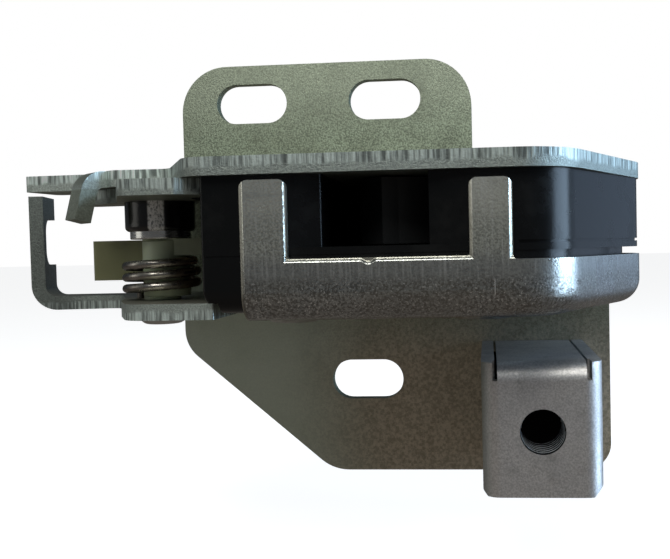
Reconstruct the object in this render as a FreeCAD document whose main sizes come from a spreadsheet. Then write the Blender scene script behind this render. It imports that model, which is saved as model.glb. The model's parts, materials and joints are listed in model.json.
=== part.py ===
import FreeCAD, Part
import math
import os

import Sketcher
from FreeCAD import Placement, Rotation, Vector

# Van door lock: a rotary latch on a folded and riveted steel frame.
# Frame of the part: +X to the right of the mouth's face, +Y from the mouth towards the panel that the
# plate is bolted to, +Z up. The origin is midway between the two upper slots, on the plate's back face.

DIMENSIONS = [
    ("plate_sheet", 3.0, "mounting plate sheet"),
    ("slot_spacing", 30.8, "between the centres of the upper slots"),
    ("slot_width", 9.0, "slots for M8 bolts"),
    ("slot_length", 16.4, "slots, end to end"),
    ("tab_left", 31.8, "upper tab, left edge from the origin"),
    ("tab_right", 35.1, "upper tab, right edge"),
    ("tab_top", 8.7, "upper tab, top edge"),
    ("tab_corner", 10.5, "upper tab, corner radius"),
    ("plate_left", 32.8, "mounting plate, left edge"),
    ("plate_right", 65.1, "mounting plate, right edge"),
    ("plate_bottom", 85.1, "mounting plate, bottom edge below the origin"),
    ("plate_corner", 6.0, "mounting plate, corner radius"),
    ("lower_slot_x", 10.1, "lower slot, centre"),
    ("lower_slot_drop", 64.0, "lower slot, centre below the origin"),
    ("body_depth", 58.0, "front of the lock body from the plate's back face"),
    ("body_right", 69.3, "lock body, right side from the origin"),
    ("body_corner", 13.0, "lock body, front right corner radius"),
    ("frame_top_drop", 17.6, "frame plate, top face below the origin"),
    ("frame_sheet", 3.2, "frame plate sheet"),
    ("finger_width", 5.0, "bent finger, width along its edge"),
    ("finger_reach", 6.2, "bent finger, reach below the frame plate"),
    ("bend_inside", 1.4, "inside radius of small bends"),
    ("finger_bend", 76.0, "degrees the finger is bent down"),
    ("body_bottom_drop", 46.1, "underside of the pressed cover below the origin"),
    ("cover_sheet", 1.3, "pressed cover sheet"),
    ("cover_draw", 5.0, "pressed cover, outside radius of its drawn edge"),
    ("window_left", 4.3, "cover window, left side"),
    ("window_right", 35.2, "cover window, right side"),
    ("window_bottom_drop", 35.35, "cover window, lower edge below the origin"),
    ("rim_drop", 36.1, "cover rim at the right below the origin"),
    ("cover_tab_width", 7.2, "cover tabs beside the window"),
    ("cover_tab_drop", 21.7, "top of the cover tabs below the origin"),
    ("cover_left", 3.75, "left edge of the cover, left of the origin"),
    ("housing_left", 11.1, "left wall of the housing, left of the origin"),
    ("housing_wall", 1.3, "housing walls"),
    ("housing_gap", 0.2, "gap between housing and sheet parts"),
    ("floor_drop", 33.4, "floor of the housing's chamber below the origin"),
    ("mouth_left", 9.8, "mouth, left side"),
    ("mouth_right", 28.4, "mouth, right side"),
    ("mouth_depth", 34.0, "mouth, depth behind the housing's face"),
    ("claw_pivot_x", 37.0, "claw pivot"),
    ("claw_pivot_y", 29.0, "claw pivot in front of the plate's back face"),
    ("claw_reach", 26.0, "claw, hook radius"),
    ("claw_rim", 20.0, "claw, rim radius under the pawl"),
    ("claw_hub", 13.0, "claw, hub radius"),
    ("claw_slot", 12.4, "claw, width of its slot for the striker"),
    ("claw_sheet", 7.0, "claw steel thickness"),
    ("claw_lining", 1.2, "claw jacket over its steel"),
    ("claw_open_now", 16.0, "degrees the claw is turned open from fully closed"),
    ("claw_pin_radius", 5.0, "claw pin"),
    ("pawl_pivot_x", 0.0, "pawl pivot"),
    ("pawl_pivot_y", 33.0, "pawl pivot in front of the plate's back face"),
    ("pawl_pin_radius", 3.5, "pawl pin"),
    ("pawl_hub", 6.6, "pawl hub radius"),
    ("pawl_sheet", 8.5, "pawl thickness"),
    ("pawl_tail_room", 4.4, "pawl's tail behind the front of the lock body"),
    ("rim_gap", 0.35, "pawl nose off the claw's rim"),
    ("pin_play", 0.05, "running clearance round a pin"),
    ("head_height", 1.8, "rivet heads"),
    ("head_spread", 2.4, "rivet heads, beyond the shank"),
    ("lever_pivot_x", 26.8, "lever pivot, left of the origin"),
    ("lever_pivot_y", 33.0, "lever pivot in front of the plate's back face"),
    ("lever_sheet", 2.85, "release lever sheet"),
    ("lever_gap", 0.1, "gap under the frame plate and over the bracket"),
    ("lever_pin_radius", 2.2, "lever pin"),
    ("bush_radius", 6.8, "pivot bush"),
    ("bush_height", 5.85, "pivot bush"),
    ("washer_radius", 5.9, "pivot washer"),
    ("washer_height", 1.5, "pivot washer"),
    ("cable_hub", 3.6, "cable lever hub radius"),
    ("cable_arm_reach", 44.8, "cable lever tip, left of the origin"),
    ("cable_arm_height", 8.3, "cable lever arm"),
    ("cable_web", 3.3, "web between the arm and the hub"),
    ("spring_radius", 6.85, "return spring, mean radius"),
    ("spring_wire", 1.7, "return spring wire"),
    ("spring_pitch", 2.2, "return spring pitch"),
    ("bracket_sheet", 3.0, "cable bracket sheet"),
    ("bracket_left", 60.4, "cable bracket upright, inner face left of the origin"),
    ("bracket_width", 11.0, "cable bracket upright width"),
    ("bracket_bend", 2.5, "cable bracket, inside bend radius"),
    ("bracket_turn", 14.0, "degrees the upright is turned in plan"),
    ("sleeve_notch_height", 10.3, "notch for the cable sleeve"),
    ("sleeve_notch_depth", 8.8, "notch for the cable sleeve"),
    ("sleeve_notch_drop", 25.7, "top of the notch below the origin"),
    ("box_left", 36.5, "guide bracket, left side"),
    ("box_width", 22.4, "guide bracket, outside width"),
    ("box_sheet", 2.5, "guide bracket sheet"),
    ("box_front", 42.0, "guide bracket, front from the plate's back face"),
    ("box_rise", 12.9, "guide bracket, top above the threaded hole's centre"),
    ("box_fall", 12.2, "guide bracket, bottom below the threaded hole's centre"),
    ("box_top_drop", "=box_hole_drop - box_rise", "guide bracket, top below the origin"),
    ("box_bottom_drop", "=box_hole_drop + box_fall", "guide bracket, bottom below the origin"),
    ("box_bend", 3.4, "guide bracket, outside bend radius"),
    ("box_hole_drop", 68.4, "threaded hole below the origin"),
    ("thread_radius", 4.25, "M10 thread, at its crests"),
    ("nut_side_gap", 1.2, "between the weld nut and the box's side walls"),
    ("nut_flats", "=box_width - 2 * box_sheet - 2 * nut_side_gap", "weld nut across flats"),
    ("nut_height", 8.0, "weld nut"),
    ("stop_radius", 2.7, "bump stop"),
    ("coil_wire", 1.5, "claw spring wire"),
    ("coil_radius", 7.6, "claw spring, mean radius"),
    ("small_wire", 1.1, "pawl spring wire"),
    ("small_coil", 5.0, "pawl spring, mean radius"),
]

doc = FreeCAD.newDocument("van_door_lock")
sheet = doc.addObject("Spreadsheet::Sheet", "Sizes")
for row, (alias, number, words) in enumerate(DIMENSIONS, start=1):
    sheet.set("A%d" % row, words)
    sheet.set("B%d" % row, str(number))
    sheet.setAlias("B%d" % row, alias)
doc.recompute()


def size(alias):
    """The number in the sheet's cell of that name."""
    return float(getattr(sheet, alias))


# Levels and places that several pieces share, worked out from the sheet.
PLATE_FRONT = -size("plate_sheet")
BODY_FRONT = -size("body_depth")
BEYOND = size("body_right") + 10.7
FRAME_TOP = -size("frame_top_drop")
FRAME_UNDER = FRAME_TOP - size("frame_sheet")
LEVER_TOP = FRAME_UNDER - size("lever_gap")
LEVER_UNDER = LEVER_TOP - size("lever_sheet")
BUSH_UNDER = LEVER_UNDER - size("bush_height")
WASHER_UNDER = BUSH_UNDER - size("washer_height")
COVER_UNDER = -size("body_bottom_drop")
COVER_FLOOR = COVER_UNDER + size("cover_sheet")
BRACKET_UNDER = COVER_UNDER
BRACKET_TOP = BRACKET_UNDER + size("bracket_sheet")
FLOOR = -size("floor_drop")
HOUSING_TOP = FRAME_UNDER - 0.05
HOUSING_UNDER = COVER_FLOOR + 0.05
HOUSING_FRONT = BODY_FRONT + size("cover_sheet") + size("housing_gap")
CLAW = Vector(size("claw_pivot_x"), -size("claw_pivot_y"), 0)
PAWL = Vector(size("pawl_pivot_x"), -size("pawl_pivot_y"), 0)
LEVER = Vector(-size("lever_pivot_x"), -size("lever_pivot_y"), 0)
CLAW_MIDDLE = (HOUSING_TOP + FLOOR) / 2
BOX_MIDDLE = size("box_left") + size("box_width") / 2
SLOT = size("slot_width") / 2


def rounded(corners):
    """Lines and arcs of a closed outline, run counter-clockwise; each corner is (x, y, radius)."""
    doubled = 0.0
    for index, (x, y, radius) in enumerate(corners):
        doubled += corners[index - 1][0] * y - x * corners[index - 1][1]
    if doubled < 0:
        corners = corners[::-1]
    places = [Vector(x, y, 0) for x, y, radius in corners]
    turns = []
    for index, here in enumerate(places):
        radius = corners[index][2]
        back = (places[index - 1] - here).normalize()
        ahead = (places[(index + 1) % len(places)] - here).normalize()
        if radius <= 0:
            turns.append((here, None, here))
            continue
        half = back.getAngle(ahead) / 2
        inward = (back + ahead).normalize()
        start = here + back * (radius / math.tan(half))
        end = here + ahead * (radius / math.tan(half))
        middle = here + inward * (radius / math.sin(half) - radius)
        turns.append((start, middle, end))
    edges = []
    for index, (start, middle, end) in enumerate(turns):
        if middle is not None:
            edges.append(Part.Arc(start, middle, end))
        following = turns[(index + 1) % len(turns)][0]
        if (following - end).Length > 1e-6:
            edges.append(Part.LineSegment(end, following))
    return edges


def rectangle(left, low, right, high, radius=0.0):
    """Outline of a rectangle with equal corner radii."""
    return rounded([(left, low, radius), (right, low, radius), (right, high, radius), (left, high, radius)])


def ring(centre, radius):
    """A full circle in the sketch plane."""
    return [Part.Circle(Vector(centre[0], centre[1], 0), Vector(0, 0, 1), radius)]


def face_of(outline, level=0.0):
    """A flat face from an outline, lifted to a level."""
    face = Part.Face(Part.Wire([edge.toShape() for edge in outline]))
    face.translate(Vector(0, 0, level))
    return face


def joined(faces):
    """One flat face that covers several overlapping ones, all at level 0."""
    up = Vector(0, 0, 1)
    solids = [face.extrude(up) for face in faces]
    whole = solids[0].fuse(solids[1:]).removeSplitter()
    top = [face for face in whole.Faces if face.CenterOfMass.z > 1 - 1e-6]
    largest = sorted(top, key=lambda face: face.Area)[-1]
    return largest.translated(-up)


def new_body(label):
    body = doc.addObject("PartDesign::Body", label)
    body.Label = label
    return body


def new_sketch(body, name, role, geometry, offset=None, turn=None):
    """A sketch on one of the body's own origin planes, moved along its normal."""
    drawing = body.newObject("Sketcher::SketchObject", name)
    plane = [item for item in body.Origin.OriginFeatures if item.Role == role][0]
    drawing.AttachmentSupport = [(plane, "")]
    drawing.MapMode = "FlatFace"
    if turn is not None:
        drawing.AttachmentOffset = turn
    if offset is not None:
        drawing.setExpression(".AttachmentOffset.Base.z", offset)
    drawing.addGeometry(geometry, False)
    return drawing


def round_hole(drawing, centre, radius_cell):
    """A circle whose radius stays bound to a cell of the sheet."""
    index = drawing.addGeometry(ring(centre, size(radius_cell))[0], False)
    mark = drawing.addConstraint(Sketcher.Constraint("Radius", index, size(radius_cell)))
    drawing.setExpression("Constraints[%d]" % mark, "Sizes.%s" % radius_cell)


def pad(body, name, drawing, length, other_way=False, symmetric=False):
    feature = body.newObject("PartDesign::Pad", name)
    feature.Profile = drawing
    feature.setExpression("Length", length)
    feature.Reversed = other_way
    if symmetric:
        feature.SideType = "Symmetric"
    return feature


def pocket(body, name, drawing, length=None, other_way=False):
    """Cuts right through both ways, or to a bound depth against the sketch's normal."""
    feature = body.newObject("PartDesign::Pocket", name)
    feature.Profile = drawing
    if length is None:
        feature.Type = "ThroughAll"
        feature.SideType = "Symmetric"
    else:
        feature.Type = "Length"
        feature.setExpression("Length", length)
        feature.Reversed = other_way
    return feature


def edges_where(feature, test):
    """Names of a feature's edges whose middle point passes a test."""
    names = []
    for index, edge in enumerate(feature.Shape.Edges, start=1):
        middle = edge.valueAt((edge.FirstParameter + edge.LastParameter) / 2)
        if test(edge, middle):
            names.append("Edge%d" % index)
    return names


def dress(body, kind, name, base, names, cell):
    """A fillet or chamfer on named edges, its size bound to the sheet."""
    feature = body.newObject("PartDesign::" + kind, name)
    feature.Base = (base, names)
    feature.setExpression("Radius" if kind == "Fillet" else "Size", cell)
    return feature


def plain(label, shape):
    """A sub-part whose shape comes from Part's own functions."""
    feature = doc.addObject("Part::Feature", label)
    feature.Label = label
    feature.Shape = shape
    feature.Placement = Placement()
    return feature


def mounting_plate():
    """The bolted plate: an upper tab with two slots, a lower plate with one, its left corner cut off."""
    body = new_body("mounting_plate")
    shoulder = FRAME_TOP + 4.0
    corner = size("plate_corner")
    outline = rounded([
        (-size("tab_left"), size("tab_top"), size("tab_corner")),
        (size("tab_right"), size("tab_top"), size("tab_corner")),
        (size("tab_right"), shoulder, 0),
        (size("plate_right"), shoulder, corner),
        (size("plate_right"), -size("plate_bottom"), corner),
        (1.6, -size("plate_bottom"), 10.0),
        (-size("plate_left"), -size("plate_bottom") + 29.2, 8.0),
        (-size("plate_left"), FRAME_UNDER - 9.0, 2.0),
        (-size("tab_left"), FRAME_UNDER - 6.0, 2.0),
    ])
    slots = []
    centres = [(-size("slot_spacing") / 2, 0.0), (size("slot_spacing") / 2, 0.0)]
    centres.append((size("lower_slot_x"), -size("lower_slot_drop")))
    reach = size("slot_length") / 2
    for x, z in centres:
        slots += rectangle(x - reach, z - SLOT, x + reach, z + SLOT, SLOT)
    drawing = new_sketch(body, "plate_outline", "XZ_Plane", outline + slots)
    pad(body, "plate", drawing, "Sizes.plate_sheet")
    return body


def body_outline(inset):
    """Front and right side of the lock body, which frame plate, housing and cover share."""
    lean = inset * 1.15
    right = size("body_right") - inset
    return [
        (size("body_right") - 18.5 - 0.45 * inset, BODY_FRONT + inset, size("body_corner") - inset),
        (right, -20.0 + 0.3 * lean, 10.0 - inset),
        (right, -9.5, 4.0),
    ]


EDGE_START = Vector(-42.0, -31.2, 0)
EDGE_END = Vector(-34.2, -38.6, 0)


def frame_plate():
    """The thick top plate with its ear to the left, and the finger bent down from the ear."""
    body = new_body("frame_plate")
    outline = rounded([
        (-31.0, PLATE_FRONT, 0),
        (-33.0, -16.5, 5.0),
        (-55.0, -18.5, 1.5),
        (-56.2, -30.4, 0.8),
        (EDGE_START.x, EDGE_START.y, 3.0),
        (EDGE_END.x, EDGE_END.y, 3.0),
        (-22.9, -38.0, 3.0),
        (-13.4, BODY_FRONT, 5.0),
    ] + body_outline(0.0) + [
        (size("body_right") - 4.7, PLATE_FRONT, 0),
    ])
    drawing = new_sketch(body, "frame_outline", "XY_Plane", outline,
                         "-Sizes.frame_top_drop - Sizes.frame_sheet")
    for centre, cell in ((CLAW, "claw_pin_radius"), (PAWL, "pawl_pin_radius"), (LEVER, "lever_pin_radius")):
        round_hole(drawing, centre, cell)
    pad(body, "frame_sheet", drawing, "Sizes.frame_sheet")
    # The finger leaves the slanting edge of the ear, so its profile stands square to that edge.
    along = (EDGE_END - EDGE_START).normalize()
    outward = Vector(along.y, -along.x, 0)
    middle = EDGE_START + along * 5.6 + outward * 0.5
    angle = math.degrees(math.atan2(outward.y, outward.x))
    inner = size("bend_inside")
    outer = inner + size("frame_sheet")
    bend = math.radians(size("finger_bend"))
    centre = Vector(0, FRAME_UNDER - inner, 0)
    down = Vector(math.cos(bend), -math.sin(bend), 0)
    length = (FRAME_UNDER - size("finger_reach") - centre.y - outer * math.cos(bend)) / down.y

    def around(radius, share):
        """A point on the bend, from the plate (share 0) to the finger (share 1)."""
        return centre + Vector(radius * math.sin(bend * share), radius * math.cos(bend * share), 0)

    back = Vector(-2.5, 0, 0)
    profile = [
        Part.LineSegment(around(outer, 0) + back, around(outer, 0)),
        Part.Arc(around(outer, 0), around(outer, 0.5), around(outer, 1)),
        Part.LineSegment(around(outer, 1), around(outer, 1) + down * length),
        Part.LineSegment(around(outer, 1) + down * length, around(inner, 1) + down * length),
        Part.LineSegment(around(inner, 1) + down * length, around(inner, 1)),
        Part.Arc(around(inner, 1), around(inner, 0.5), around(inner, 0)),
        Part.LineSegment(around(inner, 0), around(inner, 0) + back),
        Part.LineSegment(around(inner, 0) + back, around(outer, 0) + back),
    ]
    turn = Placement(Vector(middle.x, 0, -middle.y), Rotation(Vector(0, 1, 0), angle))
    side = new_sketch(body, "finger_profile", "XZ_Plane", profile, turn=turn)
    pad(body, "finger", side, "Sizes.finger_width", symmetric=True)
    return body


def pressed_cover():
    """The drawn cover round the housing: two tabs beside the mouth, a low rim to the right."""
    body = new_body("pressed_cover")
    behind = PLATE_FRONT + 12.0
    corners = [(-30.0, behind, 0), (-30.0, BODY_FRONT, 0)] + body_outline(0.0) + [(55.9, behind, 0)]
    drawing = new_sketch(body, "cover_outline", "XY_Plane", rounded(corners), "-Sizes.body_bottom_drop")
    tub = pad(body, "cover_tub", drawing, "Sizes.body_bottom_drop - Sizes.cover_tab_drop")
    doc.recompute()
    rim = edges_where(tub, lambda edge, at: abs(at.z - COVER_UNDER) < 1e-4 and at.x > -29.9 and at.y < 8.9)
    drawn = dress(body, "Fillet", "cover_draw", tub, rim, "Sizes.cover_draw")
    doc.recompute()
    faces = []
    for index, face in enumerate(drawn.Shape.Faces, start=1):
        flat = face.Surface.TypeId == "Part::GeomPlane"
        if not flat:
            continue
        normal = face.normalAt(0, 0)
        if normal.z > 0.9 or normal.y > 0.9 or normal.x < -0.9:
            faces.append("Face%d" % index)
    shell = body.newObject("PartDesign::Thickness", "cover_wall")
    shell.Base = (drawn, faces)
    shell.setExpression("Value", "Sizes.cover_sheet")
    shell.Reversed = True
    # Front view cut: everything above the window's lower edge and the right rim, round the two tabs.
    top = -size("cover_tab_drop") + 5.0
    left = size("window_left")
    right = size("window_right")
    sill = -size("window_bottom_drop")
    rim_level = -size("rim_drop")
    tab = size("cover_tab_width")
    tab_top = -size("cover_tab_drop") - 0.1
    edge = -size("cover_left")
    cut = rounded([(edge - 30.0, top, 0), (edge - 30.0, rim_level, 0), (edge, rim_level, 0),
                   (edge, tab_top, 1.4), (left, tab_top, 1.4), (left, sill, 0.5),
                   (right, sill, 0.5), (right, tab_top - 0.6, 1.4), (right + tab, tab_top - 0.6, 1.4),
                   (right + tab, rim_level, 0.7), (BEYOND, rim_level, 0), (BEYOND, top, 0)])
    pocket(body, "window", new_sketch(body, "window_cut", "XZ_Plane", cut))
    # Plan view cut: the open left end and the rear.
    ends = rounded([(-40.0, 20.0, 0), (-40.0, -70.0, 0), (-size("cover_left"), -70.0, 0),
                    (-size("cover_left"), PLATE_FRONT, 0), (BEYOND, PLATE_FRONT, 0), (BEYOND, 20.0, 0)])
    pocket(body, "ends", new_sketch(body, "end_cut", "XY_Plane", ends))
    pins = new_sketch(body, "cover_pin_holes", "XY_Plane", [])
    for centre, cell in ((CLAW, "claw_pin_radius"), (PAWL, "pawl_pin_radius")):
        round_hole(pins, centre, cell)
    pocket(body, "pin_holes", pins)
    return body


def latch_housing():
    """The moulded housing: chamber for claw and pawl, the mouth, and a recessed foot inside the cover."""
    body = new_body("latch_housing")
    wall = size("housing_wall")
    inset = size("cover_sheet") + size("housing_gap")
    left = -size("housing_left")
    rear = PLATE_FRONT - 0.3
    step = 1.25
    far = size("body_right")
    upper = rounded([(left, rear, 0), (left, HOUSING_FRONT, 0.6)] + body_outline(inset)[:1]
                    + [(far - 0.4, -20.0, 9.0), (far - 0.4, -9.5, 3.6), (far - 4.9, rear, 0)])
    drawing = new_sketch(body, "band_outline", "XY_Plane", upper,
                         "-Sizes.floor_drop - %.2f" % step)
    band = pad(body, "band", drawing, "Sizes.floor_drop + %.2f - Sizes.frame_top_drop - Sizes.frame_sheet - 0.05" % step)
    foot_inset = inset + 0.15
    foot = rounded([(left, rear, 0), (left, BODY_FRONT + foot_inset, 0.6)] + body_outline(foot_inset)[:1]
                   + [(far - 3.5, -20.0, 7.0), (far - 3.5, -9.5, 3.6), (far - 7.3, rear, 0)])
    drawing = new_sketch(body, "foot_outline", "XY_Plane", foot, "-Sizes.body_bottom_drop + Sizes.cover_sheet + 0.05")
    base = pad(body, "foot", drawing, "Sizes.body_bottom_drop - Sizes.cover_sheet - 0.05 - Sizes.floor_drop - %.2f" % step)
    doc.recompute()
    low = edges_where(base, lambda edge, at: abs(at.z - HOUSING_UNDER) < 1e-3 and at.y < -4.0 and at.x > left + 0.5)
    rounding = dress(body, "Fillet", "foot_rounding", base, low, "Sizes.cover_draw - Sizes.cover_sheet + 0.3")
    # The chamber: the claw's sweep, the pawl's well and the way between them.
    margin = 0.6
    chamber = "Sizes.floor_drop - Sizes.frame_top_drop - Sizes.frame_sheet"
    top = "-Sizes.frame_top_drop - Sizes.frame_sheet"
    reach = size("claw_reach") + margin
    rim = size("claw_rim") + margin + 0.4
    hub = size("claw_hub") + margin
    front_half = face_of(rounded([(CLAW.x - 40, CLAW.y + 8, 0), (CLAW.x + 3, CLAW.y + 8, 0),
                                  (CLAW.x + 6, BODY_FRONT - 9, 0), (CLAW.x - 40, BODY_FRONT - 9, 0)]))
    swept = joined([face_of(ring(CLAW, rim)), face_of(ring(CLAW, reach)).common(front_half)])
    sides = HOUSING_FRONT + wall
    well = face_of(rounded([(left + wall, BODY_FRONT + 2.0 + wall, 1.5), (7.6, BODY_FRONT + 2.0 + wall, 1.5), (7.6, -27.0, 1.0),
                            (21.0, -27.0, 0.0), (21.0, -18.0, 0.0), (27.0, -12.5, 1.0), (27.0, rear - wall, 1.0),
                            (8.0, rear - wall, 3.0), (left + wall, -26.0, 3.0)]))
    stop_room = face_of(rounded([(CLAW.x - 2, sides, 0.5), (CLAW.x + 10.4, sides, 1.5),
                                 (CLAW.x + 13.4, sides + 5.6, 1.5), (CLAW.x + 15.4, CLAW.y - 13, 1.5),
                                 (CLAW.x - 2, CLAW.y - 9, 0.5)]))
    mouth = face_of(rounded([(size("mouth_left"), HOUSING_FRONT + 1.4, 0), (size("mouth_right"), HOUSING_FRONT + 1.4, 0),
                             (size("mouth_right"), HOUSING_FRONT + size("mouth_depth"), 4.0),
                             (size("mouth_left"), HOUSING_FRONT + size("mouth_depth"), 4.0)]))
    room = joined([swept, well, stop_room, mouth])
    clear = face_of(rectangle(left + wall, sides, 60.0, rear - wall))
    wires = sorted(room.common(clear).Faces, key=lambda face: face.Area)[-1].Wires
    edges = []
    for wire in wires:
        for edge in wire.Edges:
            curve = edge.Curve
            if curve.TypeId == "Part::GeomCircle":
                edges.append(Part.Arc(edge.valueAt(edge.FirstParameter),
                                      edge.valueAt((edge.FirstParameter + edge.LastParameter) / 2),
                                      edge.valueAt(edge.LastParameter)))
            else:
                edges.append(Part.LineSegment(edge.valueAt(edge.FirstParameter), edge.valueAt(edge.LastParameter)))
    drawing = new_sketch(body, "chamber_outline", "XY_Plane", edges, top)
    pocket(body, "chamber", drawing, chamber)
    # The mouth's funnel, open to the front above the floor.
    funnel = rounded([(size("window_left"), HOUSING_FRONT - 3.0, 0), (size("window_right") - 0.5, HOUSING_FRONT - 3.0, 0),
                      (size("window_right") - 0.5, HOUSING_FRONT, 0), (size("mouth_right"), HOUSING_FRONT + 1.1, 0),
                      (size("mouth_right"), HOUSING_FRONT + 4.0, 0), (size("mouth_left"), HOUSING_FRONT + 4.0, 0),
                      (size("mouth_left"), HOUSING_FRONT + 2.6, 0.8), (size("window_left"), HOUSING_FRONT, 0)])
    pocket(body, "funnel", new_sketch(body, "funnel_outline", "XY_Plane", funnel, top), chamber)
    # The window in the left wall where the release lever reaches the pawl.
    slot = rectangle(left - 2.0, BODY_FRONT + 3.0, left + wall + 1.0, BODY_FRONT + 15.0, 0.6)
    pocket(body, "lever_window", new_sketch(body, "lever_window_outline", "XY_Plane", slot, top),
           "Sizes.lever_sheet + Sizes.lever_gap * 2")
    # The corner that the cable bracket runs under.
    corner = rectangle(left - 2.0, -70.0, left + 2.6, 2.0)
    pocket(body, "bracket_corner", new_sketch(body, "bracket_corner_outline", "XY_Plane", corner,
           "-Sizes.body_bottom_drop + Sizes.bracket_sheet + 0.3"), "10")
    # A fine groove round the band, above its lower edge.
    start = size("window_right") + size("cover_tab_width") + 1.0
    groove_ring = [(BEYOND, 10.0), (BEYOND, BODY_FRONT - 5.0), (start, BODY_FRONT - 5.0), (start, HOUSING_FRONT + 0.5)]
    inner = body_outline(inset + 0.5)[:1] + [(far - 0.9, -20.0, 7.4), (far - 0.9, -9.0, 0)]
    groove = rounded([(x, y, 0) for x, y in groove_ring] + inner + [(far - 0.9, 10.0, 0)])
    pocket(body, "groove", new_sketch(body, "groove_outline", "XY_Plane", groove,
           "-Sizes.floor_drop + 0.45"), "0.5")
    # Wells for the two hidden springs and the holes for the pins.
    wells = new_sketch(body, "spring_wells", "XY_Plane", ring(CLAW, size("coil_radius") + 2.2), "-Sizes.floor_drop")
    pocket(body, "claw_spring_well", wells, "Sizes.coil_wire * 5")
    wells = new_sketch(body, "pawl_spring_outline", "XY_Plane", ring(PAWL, size("small_coil") + 1.6), "-Sizes.floor_drop")
    pocket(body, "pawl_spring_well", wells, "Sizes.small_wire * 5")
    holes = ring(CLAW, size("claw_pin_radius")) + ring(PAWL, size("pawl_pin_radius"))
    pocket(body, "pin_holes_through", new_sketch(body, "pin_hole_outline", "XY_Plane", holes))
    return body


def pin(label, centre, radius_cell, top, bottom, flush_top=False):
    """A riveted pin with a domed head at its lower end and a domed or flush upper end."""
    body = new_body(label)
    radius = size(radius_cell)
    head = radius + size("head_spread")
    rise = size("head_height")
    dome = [
        Part.LineSegment(Vector(0, bottom - rise, 0), Vector(head * 0.55, bottom - rise, 0)),
        Part.Arc(Vector(head * 0.55, bottom - rise, 0), Vector(head * 0.9, bottom - rise * 0.72, 0), Vector(head, bottom, 0)),
        Part.LineSegment(Vector(head, bottom, 0), Vector(radius, bottom, 0)),
        Part.LineSegment(Vector(radius, bottom, 0), Vector(radius, top, 0)),
    ]
    if flush_top:
        dome.append(Part.LineSegment(Vector(radius, top, 0), Vector(0, top, 0)))
        dome.append(Part.LineSegment(Vector(0, top, 0), Vector(0, bottom - rise, 0)))
    else:
        dome.append(Part.LineSegment(Vector(radius, top, 0), Vector(head, top, 0)))
        dome.append(Part.Arc(Vector(head, top, 0), Vector(head * 0.9, top + rise * 0.72, 0),
                             Vector(head * 0.55, top + rise, 0)))
        dome.append(Part.LineSegment(Vector(head * 0.55, top + rise, 0), Vector(0, top + rise, 0)))
        dome.append(Part.LineSegment(Vector(0, top + rise, 0), Vector(0, bottom - rise, 0)))
    drawing = new_sketch(body, label + "_profile", "XZ_Plane", profile_at(dome, centre),
                         turn=Placement(Vector(0, 0, -centre.y), Rotation()))
    turned = body.newObject("PartDesign::Revolution", label + "_turned")
    turned.Profile = drawing
    line = drawing.addGeometry(Part.LineSegment(Vector(centre.x, bottom - 5, 0), Vector(centre.x, top + 5, 0)), True)
    turned.ReferenceAxis = (drawing, ["Axis%d" % 0])
    turned.Angle = 360
    return body


def profile_at(edges, centre):
    """Moves a profile sideways to a pivot."""
    moved = []
    for edge in edges:
        shape = edge.toShape()
        shape.translate(Vector(centre.x, 0, 0))
        curve = shape.Curve
        first = shape.valueAt(shape.FirstParameter)
        last = shape.valueAt(shape.LastParameter)
        middle = shape.valueAt((shape.FirstParameter + shape.LastParameter) / 2)
        if curve.TypeId == "Part::GeomCircle":
            moved.append(Part.Arc(first, middle, last))
        else:
            moved.append(Part.LineSegment(first, last))
    return moved


def claw_outline():
    """The claw's plan about its pivot when fully closed: a fork whose slot points to the left."""
    half = size("claw_slot") / 2
    reach = size("claw_reach")
    rim = size("claw_rim")
    hub = size("claw_hub")
    slot_end = Vector(-17.9, -1.0, 0)
    disc = face_of(ring((0, 0), hub))
    hook = face_of(ring((0, 0), reach)).common(face_of(rounded([
        (-reach - 2, slot_end.y, 0), (-reach - 2, -14.5, 0), (-19.0, -13.4, 3.0), (-4.0, -hub, 0), (0, 0, 0), (-4, slot_end.y, 0)])))
    rear = face_of(ring((0, 0), rim)).common(face_of(rounded([
        (-reach - 2, slot_end.y, 0), (0, slot_end.y, 0), (7.0, 4.0, 0), (9.0, 30.0, 0), (-reach - 2, 30.0, 0)])))
    whole = joined([disc, hook, rear])
    slot = face_of(rounded([(-reach - 5, slot_end.y - half, 0), (slot_end.x + half, slot_end.y - half, half - 0.01),
                            (slot_end.x + half, slot_end.y + half, half - 0.01), (-reach - 5, slot_end.y + half, 0)]))
    whole = whole.cut(slot)
    # Two catch notches for the pawl: closed, and the safety catch 20 degrees before it.
    for angle in (133.0, 113.0):
        steep = math.radians(angle - 5.0)
        ramp = math.radians(angle + 9.0)
        floor = rim - 3.4
        notch = face_of(rounded([
            (floor * math.cos(steep), floor * math.sin(steep), 0),
            ((rim + 4) * math.cos(steep), (rim + 4) * math.sin(steep), 0),
            ((rim + 4) * math.cos(ramp), (rim + 4) * math.sin(ramp), 0),
            (floor * math.cos(math.radians(angle + 3.0)), floor * math.sin(math.radians(angle + 3.0)), 0)]))
        whole = whole.cut(notch)
    return sorted(whole.Faces, key=lambda face: face.Area)[-1]


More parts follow.
